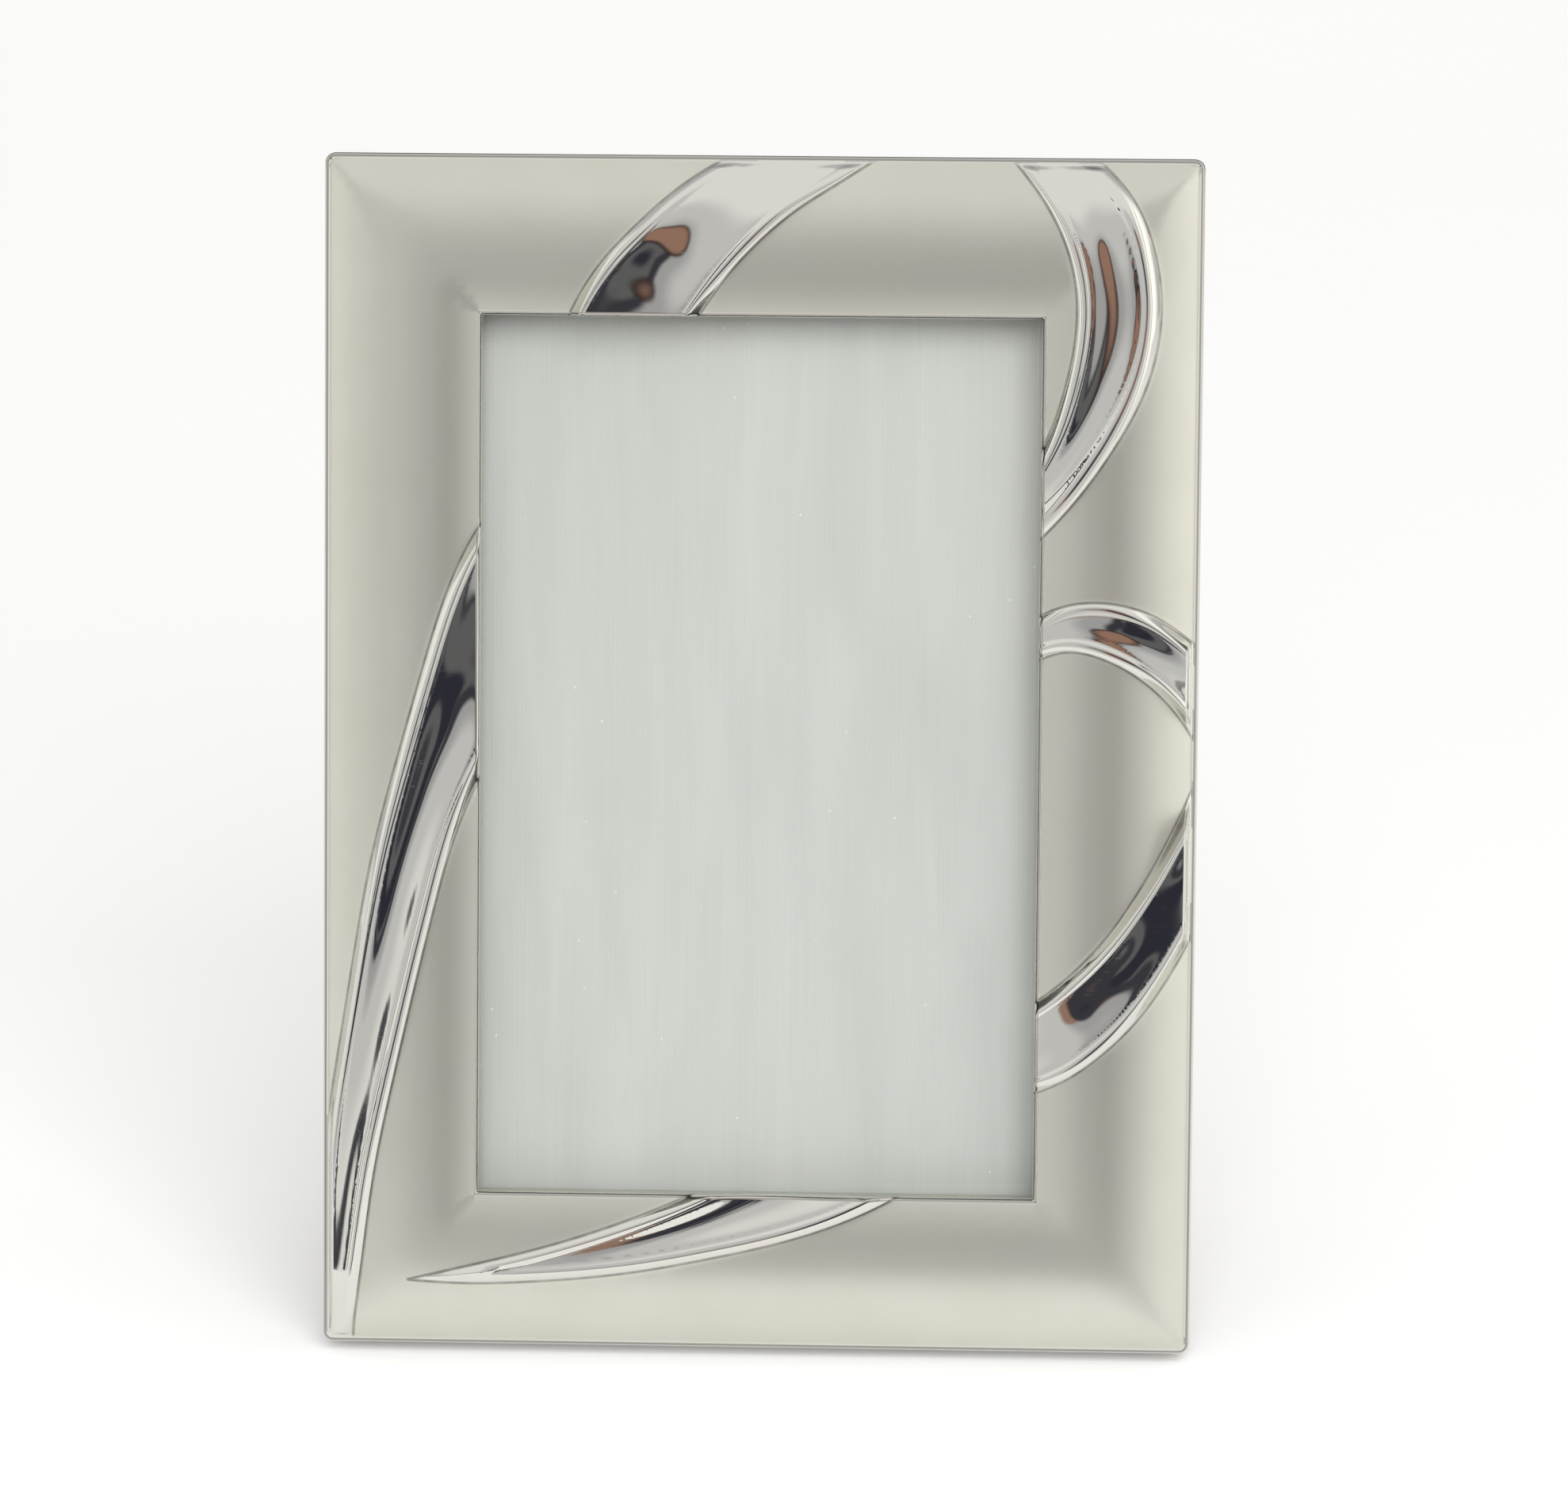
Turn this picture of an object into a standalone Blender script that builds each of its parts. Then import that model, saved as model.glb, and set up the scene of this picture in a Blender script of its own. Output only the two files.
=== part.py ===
"""Silver-plated photo frame for one 10 x 15 cm print.

A thin stamped silver sheet, domed and crossed by raised mirror-bright ribbons,
sits over four mitred wooden rails. The glass, the print, a card and a wooden
back board lie in the rebate of the rails, held by four turn buttons. A wooden
strut on a small butt hinge opens behind the board until its bevelled heel
meets the board, so that the frame stands and leans back.

Frame coordinates: u to the right, v up the frame, w out of its front.
The frame's own axes are x = u, y = -w, z = v, carried by the empty frame_lean.
"""

import math

import bmesh
import bpy
import numpy as np
from mathutils import Euler, Vector
from mathutils.geometry import delaunay_2d_cdt

MM = 0.001

# Overall sizes: the window, and the width of the moulding that runs round it
WINDOW_WIDTH = 91.5 * MM
WINDOW_HEIGHT = 144.5 * MM
BORDER = 26.25 * MM
LEAN = math.radians(14.0)
STRUT_OPENING = math.radians(26.0)
CLEARANCE = 0.3 * MM

# Silver sheet
SHEET_THICKNESS = 0.5 * MM
SKIRT_FOOT_W = 2.5 * MM
RIM_W = 8.4 * MM
RIM_RADIUS = 1.0 * MM
CREST_W = 15.0 * MM
CREST_DEPTH = 17.0 * MM
LIP_DROP = 1.6 * MM
LIP_RADIUS = 0.7 * MM
DOME_POWER = 2.3
CORNER_RADIUS = 1.8 * MM
CORNER_STEPS = 3
SMALLEST_ROUND = 0.2 * MM
CORNER_SOFTNESS = 9.0 * MM
LEAST_SOFTNESS = 1.2 * MM
CREASE_GROWS_OVER = 0.4
CREASE_FADES_FROM = 0.7
CREASE_FADES_OVER = 0.25
RIM_STEP = 0.3
LIP_STEP = 0.25
SHEET_SMOOTHED_BELOW = 60.0

# Ribbons of the relief: the slopes of a bead, and where its inner side is
# steepest and where it ends, in shares of the distance from toe to bead top
FOOT_FILLET = 0.9 * MM
TOE_ROUND = 0.2 * MM
TOE_SLOPE = 0.2
BEAD_SLOPE = 0.95
INNER_SLOPE = 0.5
BEAD_SIDE = 1.5
BEAD_END = 2.0
TROUGH_WIDTH = 8.0 * MM
TROUGH_POWER = 1.5
FLAT_FROM = 1.6
FLAT_GROWS_OVER = 5.0 * MM
FLAT_FROM_ENDS = 14.0 * MM
TIP_WIDTH = 5.0 * MM
RELIEF_STARTS = 0.9 * MM
RELIEF_GROWS_OVER = 1.4 * MM
WIDEST_RIBBON = 20.0 * MM
SPLINE_STEP = 0.5 * MM

# Spacing of the points that the sheet is made from
STATION_STEP = 3.6 * MM
LEAST_ROOM = 0.2 * MM
BEAD_FLANK = 0.5
TROUGH_LINES = (0.3, 0.5, 0.7)
SHALLOW_TROUGH = 7.5 * MM
RIM_RINGS = (0.15, 0.35, 0.7)
FACE_MARGIN = 0.6
OUTLINE_SPACING = 6.0 * MM
FILL_SPACING = 7.0 * MM
FILL_RINGS = 8
FILL_MARGIN = 2.5 * MM
RIBBON_MARGIN = 1.5 * MM

# Wooden rails
REBATE_WIDTH = 5.4 * MM
LEDGE_W = 8.6 * MM
RAIL_STEPS = 9
RAIL_SMOOTHED_BELOW = 30.0
CORE_CLEARANCE = 1.5 * MM
CORE_SHOULDER = 1.6 * MM
CORNER_BLUNT = 1.1 * MM
BLUNT_AT_FLANGE = 0.5
NAIL_LEG = 7.0 * MM
NAIL_GAUGE = 0.6 * MM
NAIL_DEPTH = 5.0 * MM
NAIL_INSET = 11.0 * MM

# Pack in the rebate, from the ledge to the back
GLASS_THICKNESS = 2.0 * MM
PRINT_THICKNESS = 0.4 * MM
CARD_THICKNESS = 1.6 * MM
BOARD_THICKNESS = 3.2 * MM

# Hinge and strut
HINGE_HEIGHT = 130.0 * MM
HINGE_WIDTH = 28.0 * MM
LEAF_LENGTH = 14.0 * MM
LEAF_THICKNESS = 0.8 * MM
KNUCKLE_RADIUS = 2.0 * MM
PIN_RADIUS = 0.8 * MM
MIDDLE_KNUCKLE = 11.4 * MM
STRUT_THICKNESS = 3.0 * MM
STRUT_TOP_WIDTH = 34.0 * MM
STRUT_FOOT_WIDTH = 50.0 * MM
FIXED_SCREWS_AT = 0.5
MOVING_SCREWS_AT = 0.75
EDGE_ROUND = 0.4 * MM
EDGE_ROUNDED_ABOVE = 50.0
GLASS_EDGE_ROUND = 0.2 * MM

# Screws and turn buttons
HINGE_SCREW_SPACING = 16.0 * MM
HINGE_SCREW_SHANK = 0.8 * MM
HINGE_SCREW_LENGTH = 2.3 * MM
HINGE_SCREW_HEAD = 1.7 * MM
HINGE_SCREW_HEAD_HEIGHT = 0.6 * MM
BUTTON_SPAN_V = 84.0 * MM
BUTTON_WIDTH = 8.0 * MM
BUTTON_REACH = 11.0 * MM
BUTTON_TAIL = 4.0 * MM
BUTTON_THICKNESS = 1.0 * MM
BUTTON_PIVOT_INSET = 5.6 * MM
BUTTON_SCREW_SHANK = 1.0 * MM
BUTTON_SCREW_LENGTH = 6.5 * MM
BUTTON_SCREW_HEAD = 2.2 * MM
BUTTON_SCREW_HEAD_HEIGHT = 1.0 * MM
ROUND_STEPS = 20
SCREW_STEPS = 12
SCREW_CROWN = (0, 30, 60, 80)
SCREW_POINT = 1.5

# Length of a section before its ends are moved to their places
SECTION_LENGTH = 2.0

# Sizes that follow from the ones above
HALF_WIDTH = WINDOW_WIDTH / 2 + BORDER
HALF_HEIGHT = WINDOW_HEIGHT / 2 + BORDER
GLASS_FRONT_W = LEDGE_W - CLEARANCE
PRINT_FRONT_W = GLASS_FRONT_W - GLASS_THICKNESS - CLEARANCE
CARD_FRONT_W = PRINT_FRONT_W - PRINT_THICKNESS - CLEARANCE
BOARD_FRONT_W = CARD_FRONT_W - CARD_THICKNESS - CLEARANCE
BOARD_REAR_W = BOARD_FRONT_W - BOARD_THICKNESS
PIN_TO_BOARD = KNUCKLE_RADIUS + CLEARANCE
PIVOT_W = BOARD_REAR_W - PIN_TO_BOARD
PIVOT_V = HINGE_HEIGHT - HALF_HEIGHT
FOOT_ANGLE = STRUT_OPENING - LEAN

# Each ribbon has two toe lines, in millimetres on the frame's face, and for
# each of them the distance from the toe to the top of its bead. Then come the
# fall of its trough, how far one side is tilted up, and the shares by which it
# flattens the dome outside and inside the crest.
RIBBONS = {
    "left_sweep": (
        [(-40, 46), (-45.9, 37.9), (-50.4, 28.9), (-54.8, 15.4), (-58.9, 0.7), (-63.2, -15.7),
         (-66.8, -35), (-69.3, -50), (-71.0, -61), (-72.1, -74), (-72.8, -88), (-73.2, -102)],
        1.25,
        [(-38, 48), (-39.5, 36), (-40.8, 22), (-41.6, 11), (-43.3, 2), (-46.1, -4.3), (-49.6, -12.9),
         (-53, -25), (-56.6, -40), (-60, -55), (-63, -70), (-65.2, -86), (-66.6, -96), (-67.3, -102)],
        1.3,
        0.7, 0.0, (0.35, 0.65),
    ),
    "upper_left_band": (
        [(-34.4, 66), (-31.3, 72.7), (-26.9, 80), (-20.3, 87.3), (-12.5, 94.1), (-5.5, 98.5), (3, 103)],
        1.25,
        [(-14.6, 66), (-9.7, 73.3), (-5, 79.7), (0.2, 85.2), (6, 90), (12, 93.9), (18.3, 98), (26, 102.5)],
        1.3,
        1.2, 0.0, (0.1, 0.75),
    ),
    "upper_right_arc": (
        [(36.5, 103), (40.6, 98.2), (45.9, 91.2), (49.4, 84.2), (51.1, 77), (51.1, 69.5),
         (49.6, 61.5), (47, 53.6), (42.5, 45)],
        1.25,
        [(49, 103), (54.6, 98.2), (60.2, 91.9), (63.6, 84), (65, 75), (64.3, 67), (61.9, 59.4),
         (57.8, 51.8), (51.9, 43.4), (45.7, 36.4), (39, 30)],
        1.9,
        0.9, 0.0, (0.2, 0.3),
    ),
    "middle_right_arch": (
        [(40, 20), (45.8, 23.9), (50, 25.7), (55, 26.3), (60, 25.7), (65, 23.8), (70, 20.3), (75, 16)],
        1.2,
        [(41, 12.5), (45.8, 16.7), (50.5, 18.2), (55, 17.5), (60, 15.3), (64.8, 11.8), (68.7, 7.5),
         (72.5, 1.5)],
        1.3,
        0.7, 0.0, (0.5, 0.5),
    ),
    "lower_right_sweep": (
        [(41, -42.5), (46, -39.4), (51.8, -34.6), (57, -29), (62.2, -21.6), (67.1, -13), (70.6, -5.7),
         (73.5, 1.5)],
        1.25,
        [(40.5, -56.6), (45.9, -54.6), (51.4, -51.9), (56.5, -48.2), (61.5, -43.5), (66.2, -37.5),
         (70.2, -31), (74, -23.8)],
        1.4,
        0.45, 0.8, (0.7, 0.5),
    ),
    "bottom_leaf": (
        [(-57.4, -86.95), (-50, -85.1), (-40, -82.6), (-30, -79.7), (-20.3, -76.3), (-11.1, -72.5),
         (-3, -68.6), (6, -64.3), (16, -59), (26, -53)],
        1.1,
        [(-57.4, -86.95), (-48, -87.4), (-38, -87.05), (-28, -86.2), (-18, -84.8), (-8, -82.8),
         (3, -80.2), (13, -77), (22, -73), (29, -69)],
        1.7,
        0.7, 0.0, (0.3, 0.5),
    ),
}

SILVER = ("silver_plate", (0.78, 0.76, 0.72), 0.3, 1.0)
LACQUERED_WOOD = ("lacquered_wood", (0.17, 0.085, 0.045), 0.4, 0.0)
BOARD_WOOD = ("board_wood", (0.22, 0.12, 0.07), 0.5, 0.0)
STEEL = ("zinc_plated_steel", (0.62, 0.63, 0.65), 0.3, 1.0)
BRASS = ("brass", (0.78, 0.6, 0.3), 0.3, 1.0)
GLASS = ("clear_glass", (0.9, 0.95, 0.93), 0.02, 0.0)
PAPER = ("pale_paper", (0.62, 0.65, 0.63), 0.6, 0.0)
CARD = ("grey_card", (0.45, 0.42, 0.37), 0.8, 0.0)


# Scene and materials


def clear_scene():
    for obj in list(bpy.data.objects):
        bpy.data.objects.remove(obj, do_unlink=True)


def make_collection(name, hidden=False):
    collection = bpy.data.collections.new(name)
    bpy.context.scene.collection.children.link(collection)
    collection.hide_render = hidden
    return collection


def make_material(recipe):
    name, colour, roughness, metallic = recipe
    material = bpy.data.materials.get(name)
    if material is None:
        material = bpy.data.materials.new(name)
        material.use_nodes = True
        shader = material.node_tree.nodes["Principled BSDF"]
        shader.inputs["Base Color"].default_value = (*colour, 1.0)
        shader.inputs["Roughness"].default_value = roughness
        shader.inputs["Metallic"].default_value = metallic
        if recipe is GLASS:
            shader.inputs["Transmission Weight"].default_value = 0.95
    return material


def add_object(name, mesh, recipe, parent, location=(0.0, 0.0, 0.0), rotation=(0.0, 0.0, 0.0)):
    obj = bpy.data.objects.new(name, mesh)
    PARTS.objects.link(obj)
    obj.data.materials.append(make_material(recipe))
    obj.location = location
    obj.rotation_euler = rotation
    obj.parent = parent
    return obj


def add_empty(name, location, rotation, parent=None):
    empty = bpy.data.objects.new(name, None)
    empty.empty_display_size = 0.02
    empty.location = location
    empty.rotation_euler = rotation
    empty.parent = parent
    PARTS.objects.link(empty)
    return empty


def mesh_from(bm, name):
    mesh = bpy.data.meshes.new(name)
    bm.to_mesh(mesh)
    bm.free()
    return mesh


def frame_point(u, v, w):
    """Frame coordinates in the axes of frame_lean."""
    return Vector((u, -w, v))


def shade_round(obj, angle):
    obj.data.shade_smooth()
    obj.data.set_sharp_from_angle(angle=math.radians(angle))


# Boxes, cylinders and flat outlines


def box_mesh(name, size, centre=(0.0, 0.0, 0.0)):
    bm = bmesh.new()
    bmesh.ops.create_cube(bm, size=1.0)
    bmesh.ops.scale(bm, vec=Vector(size), verts=bm.verts)
    bmesh.ops.translate(bm, vec=Vector(centre), verts=bm.verts)
    return mesh_from(bm, name)


def cylinder_mesh(name, radius, length, axis="X", centre=(0.0, 0.0, 0.0), segments=ROUND_STEPS):
    bm = bmesh.new()
    bmesh.ops.create_cone(
        bm, cap_ends=True, segments=segments, radius1=radius, radius2=radius, depth=length
    )
    turn = {"X": Euler((0.0, math.pi / 2, 0.0)), "Y": Euler((math.pi / 2, 0.0, 0.0)), "Z": Euler()}[axis]
    bmesh.ops.rotate(bm, verts=bm.verts, cent=Vector(), matrix=turn.to_matrix())
    bmesh.ops.translate(bm, vec=Vector(centre), verts=bm.verts)
    return mesh_from(bm, name)


def outline_mesh(name, outlines, thickness):
    """A flat outline in XY with its holes, extruded to a plate about z = 0."""
    curve = bpy.data.curves.new(name, "CURVE")
    curve.dimensions = "2D"
    curve.fill_mode = "BOTH"
    curve.extrude = thickness / 2
    for points in outlines:
        spline = curve.splines.new("POLY")
        spline.points.add(len(points) - 1)
        for point, (x, y) in zip(spline.points, points):
            point.co = (x, y, 0.0, 1.0)
        spline.use_cyclic_u = True
    helper = bpy.data.objects.new(name, curve)
    CUTTERS.objects.link(helper)
    bpy.context.view_layer.update()
    graph = bpy.context.evaluated_depsgraph_get()
    mesh = bpy.data.meshes.new_from_object(helper.evaluated_get(graph))
    bpy.data.objects.remove(helper, do_unlink=True)
    bm = bmesh.new()
    bm.from_mesh(mesh)
    bmesh.ops.remove_doubles(bm, verts=bm.verts, dist=1e-6)
    bmesh.ops.recalc_face_normals(bm, faces=bm.faces)
    bm.to_mesh(mesh)
    bm.free()
    mesh.materials.clear()
    return mesh


def arc(centre, radius, start, end, steps):
    angles = [math.radians(start + (end - start) * i / steps) for i in range(steps + 1)]
    return [(centre[0] + radius * math.cos(a), centre[1] + radius * math.sin(a)) for a in angles]


def turned_screw(name, recipe, head, shank, parent, location, rotation):
    """A round-headed screw: head above z = 0, shank below it, about z."""
    head_radius, head_height = head
    shank_radius, shank_length = shank
    crown = [
        (head_radius * math.sin(angle), head_height * math.cos(angle))
        for angle in (math.radians(step) for step in SCREW_CROWN)
    ]
    tip = shank_radius * SCREW_POINT
    profile = crown + [
        (head_radius, 0.0),
        (shank_radius, 0.0),
        (shank_radius, -shank_length + tip),
        (0.0, -shank_length),
    ]
    bm = bmesh.new()
    rail = [bm.verts.new((x, 0.0, z)) for x, z in profile]
    for first, second in zip(rail, rail[1:]):
        bm.edges.new((first, second))
    obj = add_object(name, mesh_from(bm, name), recipe, parent, location, rotation)
    turn = obj.modifiers.new("Turned", "SCREW")
    turn.steps = turn.render_steps = SCREW_STEPS
    turn.use_merge_vertices = True
    turn.merge_threshold = 0.00001
    return obj


def add_cutter(name, mesh, parent, location=(0.0, 0.0, 0.0), rotation=(0.0, 0.0, 0.0)):
    cutter = bpy.data.objects.new(name, mesh)
    CUTTERS.objects.link(cutter)
    cutter.display_type = "WIRE"
    cutter.hide_render = True
    cutter.location = location
    cutter.rotation_euler = rotation
    cutter.parent = parent
    return cutter


def combine(obj, other, operation="DIFFERENCE"):
    modifier = obj.modifiers.new(other.name, "BOOLEAN")
    modifier.operation = operation
    modifier.solver = "EXACT"
    modifier.object = other


def soften_edges(obj, width=EDGE_ROUND, segments=1):
    bevel = obj.modifiers.new("Softened edges", "BEVEL")
    bevel.width = width
    bevel.segments = segments
    bevel.limit_method = "ANGLE"
    bevel.angle_limit = math.radians(EDGE_ROUNDED_ABOVE)


# Height of the silver sheet over the face


def smooth(x):
    x = np.clip(x, 0.0, 1.0)
    return x * x * x * (x * (6.0 * x - 15.0) + 10.0)


def soft_depth(u, v):
    """Distance in from the rounded outline, eased over the mitres between the edges and the window."""
    from_side = HALF_WIDTH - np.abs(u)
    from_end = HALF_HEIGHT - np.abs(v)
    nearer = np.minimum(from_side, from_end)
    grown = smooth((nearer - CORNER_RADIUS) / (CREASE_GROWS_OVER * BORDER))
    reach = LEAST_SOFTNESS + (CORNER_SOFTNESS - LEAST_SOFTNESS) * grown
    faded = smooth((nearer - CREASE_FADES_FROM * BORDER) / (CREASE_FADES_OVER * BORDER))
    reach = reach * (1.0 - faded) + 1e-6
    overlap = np.clip(reach - np.abs(from_side - from_end), 0.0, None) / reach
    eased = nearer - overlap**3 * reach / 6.0
    into_corner = np.clip(CORNER_RADIUS - from_side, 0.0, None), np.clip(CORNER_RADIUS - from_end, 0.0, None)
    rounded = CORNER_RADIUS - np.hypot(*into_corner)
    at_corner = (into_corner[0] > 0) & (into_corner[1] > 0)
    return np.where(at_corner, np.minimum(eased, rounded), eased)


def plain_height(depth):
    """Section of the dome over its crest, before its rim and its lip are rounded."""
    shoulder = RIM_W + RIM_RADIUS
    rise = (CREST_DEPTH - depth) / (CREST_DEPTH - RIM_RADIUS)
    outer = CREST_W - (CREST_W - shoulder) * np.clip(rise, 0.0, 1.0) ** DOME_POWER
    fall = (depth - CREST_DEPTH) / (BORDER - CREST_DEPTH)
    inner = CREST_W - LIP_DROP * np.clip(fall, 0.0, 1.0) ** DOME_POWER
    return np.where(depth < CREST_DEPTH, outer, inner)


def dome_height(depth):
    """Section of the sheet without its ribbons, from its rim over the crest to the lip of the window."""
    rim = np.clip(1.0 - depth / RIM_RADIUS, 0.0, 1.0)
    lip = np.clip(1.0 - (BORDER - depth) / LIP_RADIUS, 0.0, 1.0)
    height = plain_height(depth) - RIM_RADIUS * (1.0 - np.sqrt(1.0 - rim**2))
    return height - LIP_RADIUS * (1.0 - np.sqrt(1.0 - lip**2))


def spline_through(points):
    """Points spaced about SPLINE_STEP on a natural cubic spline through points in millimetres."""
    knots = np.array(points, float)
    lengths = np.linalg.norm(np.diff(knots, axis=0), axis=1)
    at = np.concatenate([[0.0], np.cumsum(lengths)])
    count = len(knots)
    system = np.eye(count)
    target = np.zeros((count, 2))
    for i in range(1, count - 1):
        before, after = lengths[i - 1], lengths[i]
        system[i, i - 1 : i + 2] = (before, 2.0 * (before + after), after)
        target[i] = 6.0 * ((knots[i + 1] - knots[i]) / after - (knots[i] - knots[i - 1]) / before)
    bend = np.linalg.solve(system, target)
    samples = np.linspace(0.0, at[-1], int(at[-1] * MM / SPLINE_STEP) + 2)
    span = np.clip(np.searchsorted(at, samples, side="right") - 1, 0, count - 2)
    width = lengths[span][:, None]
    back = (samples - at[span])[:, None] / width
    ahead = 1.0 - back
    curve = ahead * knots[span] + back * knots[span + 1]
    curve += ((ahead**3 - ahead) * bend[span] + (back**3 - back) * bend[span + 1]) * width**2 / 6.0
    return curve * MM


def side_distance(points, line):
    """Distance of each point from a line, positive on the left of its direction."""
    start, along = line[:-1], np.diff(line, axis=0)
    to_point = points[:, None, :] - start[None, :, :]
    share = np.clip((to_point * along).sum(-1) / (along**2).sum(-1), 0.0, 1.0)
    gap = to_point - share[..., None] * along
    nearest = np.argmin((gap**2).sum(-1), axis=1)
    rows = np.arange(len(points))
    gap, along = gap[rows, nearest], along[nearest]
    side = np.sign(along[:, 0] * gap[:, 1] - along[:, 1] * gap[:, 0])
    return np.hypot(gap[:, 0], gap[:, 1]) * side


def height_of_slopes(distance, stops, slopes):
    """Height of a section whose slope runs straight from each stop to the next."""
    height = np.zeros_like(distance)
    for near, far, start, end in zip(stops, stops[1:], slopes, slopes[1:]):
        along = np.clip(distance - near, 0.0, far - near)
        height += start * along + (end - start) * along**2 / (2.0 * (far - near))
    return height


def bead_section(inset, bead):
    """Section of a ribbon's side: up from the fillet at its toe, over the bead, down to the trough."""
    stops = (-FOOT_FILLET, 0.0, TOE_ROUND, bead, BEAD_SIDE * bead, BEAD_END * bead)
    slopes = (0.0, TOE_SLOPE, BEAD_SLOPE, 0.0, -INNER_SLOPE, 0.0)
    return height_of_slopes(inset, stops, slopes)


class Ribbon:
    """One raised ribbon: a bead along each toe line and a trough between."""

    def __init__(self, first_toe, first_bead, second_toe, second_bead, fall, tilt, flattening):
        self.toes = (spline_through(first_toe), spline_through(second_toe))
        self.beads = (first_bead * MM, second_bead * MM)
        self.fall = fall * MM
        self.tilt = tilt * MM
        self.flattening = flattening
        middle = self.toes[1][len(self.toes[1]) // 2][None, :]
        self.facing = 1.0 if side_distance(middle, self.toes[0])[0] > 0 else -1.0

    def inward(self, points):
        """Distances in from the two toes, below zero outside the ribbon and past its ends."""
        first = side_distance(points, self.toes[0]) * self.facing
        second = side_distance(points, self.toes[1]) * -self.facing
        past = np.maximum(first, second) > WIDEST_RIBBON
        return np.where(past, -WIDEST_RIBBON, first), np.where(past, -WIDEST_RIBBON, second)

    def height(self, points, depth):
        first, second = self.inward(points)
        width = np.clip(first + second, 1e-6, None)
        share = np.clip(first / width, 0.0, 1.0)
        ends = [float(bead_section(np.array(BEAD_END * bead), bead)) for bead in self.beads]
        sides = bead_section(first, self.beads[0]) * bead_section(second, self.beads[1])
        rise = sides / (ends[1] * (1.0 - share) + ends[0] * share)
        room = np.clip(width - BEAD_END * sum(self.beads), 1e-6, None)
        across = np.clip((first - BEAD_END * self.beads[0]) / room, 0.0, 1.0)
        bowl = (4.0 * across * (1.0 - across)) ** TROUGH_POWER
        rise = rise - self.fall * smooth(room / TROUGH_WIDTH) * bowl
        inside = smooth(first / (FLAT_FROM * self.beads[0])) * smooth(second / (FLAT_FROM * self.beads[1]))
        rise = (rise + self.tilt * (1.0 - share) * inside) * smooth(width / TIP_WIDTH)
        flat = np.where(depth < CREST_DEPTH, *self.flattening) * inside
        flat = flat * smooth((depth - RELIEF_STARTS) / FLAT_GROWS_OVER)
        from_end = HALF_HEIGHT - np.abs(points[:, 1])
        flat = flat * smooth((from_end - RELIEF_STARTS) / FLAT_FROM_ENDS)
        return rise + flat * (CREST_W - plain_height(depth))


def relief_height(points, ribbons):
    depth = soft_depth(points[:, 0], points[:, 1])
    total = np.zeros(len(points))
    for ribbon in ribbons:
        own = ribbon.height(points, depth)
        total = np.where(own == 0.0, total, own)
    return dome_height(depth) + total * smooth((depth - RELIEF_STARTS) / RELIEF_GROWS_OVER)


# Silver sheet


def rounded_rectangle(half_width, half_height, radius, spacing):
    """Points round a rectangle with rounded corners, anticlockwise."""
    points = []
    radius = max(radius, 0.0)
    corners = ((1, 1, 0), (-1, 1, 90), (-1, -1, 180), (1, -1, 270))
    for index, (sx, sy, start) in enumerate(corners):
        centre = (sx * (half_width - radius), sy * (half_height - radius))
        if radius > SMALLEST_ROUND:
            points += arc(centre, radius, start, start + 90, CORNER_STEPS)
        else:
            points.append(centre)
        nx, ny, nstart = corners[(index + 1) % 4]
        following = (nx * (half_width - radius), ny * (half_height - radius))
        end = math.radians(nstart)
        goal = (following[0] + radius * math.cos(end), following[1] + radius * math.sin(end))
        last = points[-1]
        count = max(1, round(math.dist(last, goal) / spacing))
        points += [tuple(Vector(last).lerp(Vector(goal), i / count)) for i in range(1, count)]
    return np.array(points)


def ring_at(depth, spacing):
    return rounded_rectangle(HALF_WIDTH - depth, HALF_HEIGHT - depth, CORNER_RADIUS - depth, spacing)


def on_face(points):
    depth = np.minimum(HALF_WIDTH - np.abs(points[:, 0]), HALF_HEIGHT - np.abs(points[:, 1]))
    return (depth > FACE_MARGIN * RIM_RADIUS) & (depth < BORDER - FACE_MARGIN * LIP_RADIUS)


def ribbon_lines(ribbon):
    """Lines that follow a ribbon: its toes, both sides and tops of its beads, and its trough."""
    lines = []
    step = max(2, round(STATION_STEP / SPLINE_STEP))
    for own, other, bead, side in (
        (ribbon.toes[0], ribbon.toes[1], ribbon.beads[0], ribbon.facing),
        (ribbon.toes[1], ribbon.toes[0], ribbon.beads[1], -ribbon.facing),
    ):
        stations = own[::step]
        along = np.gradient(own, axis=0)[::step]
        along /= np.linalg.norm(along, axis=1)[:, None]
        normal = np.stack([-along[:, 1], along[:, 0]], axis=1) * side
        room = np.abs(side_distance(stations, other))
        for inset in (-FOOT_FILLET, 0.0, BEAD_FLANK * bead, bead, BEAD_SIDE * bead, BEAD_END * bead):
            keep = room > max(2.0 * inset, 0.0) + LEAST_ROOM
            lines.append((stations + normal * inset)[keep])
        if own is ribbon.toes[0]:
            for share in TROUGH_LINES:
                keep = room > SHALLOW_TROUGH
                lines.append((stations + normal * (room * share)[:, None])[keep])
    return lines


def within(ribbons, points, margin):
    """Which points lie on a ribbon, or no further than the margin from it."""
    found = np.zeros(len(points), bool)
    for ribbon in ribbons:
        first, second = ribbon.inward(points)
        found |= (first > -margin) & (second > -margin)
    return found


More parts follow.
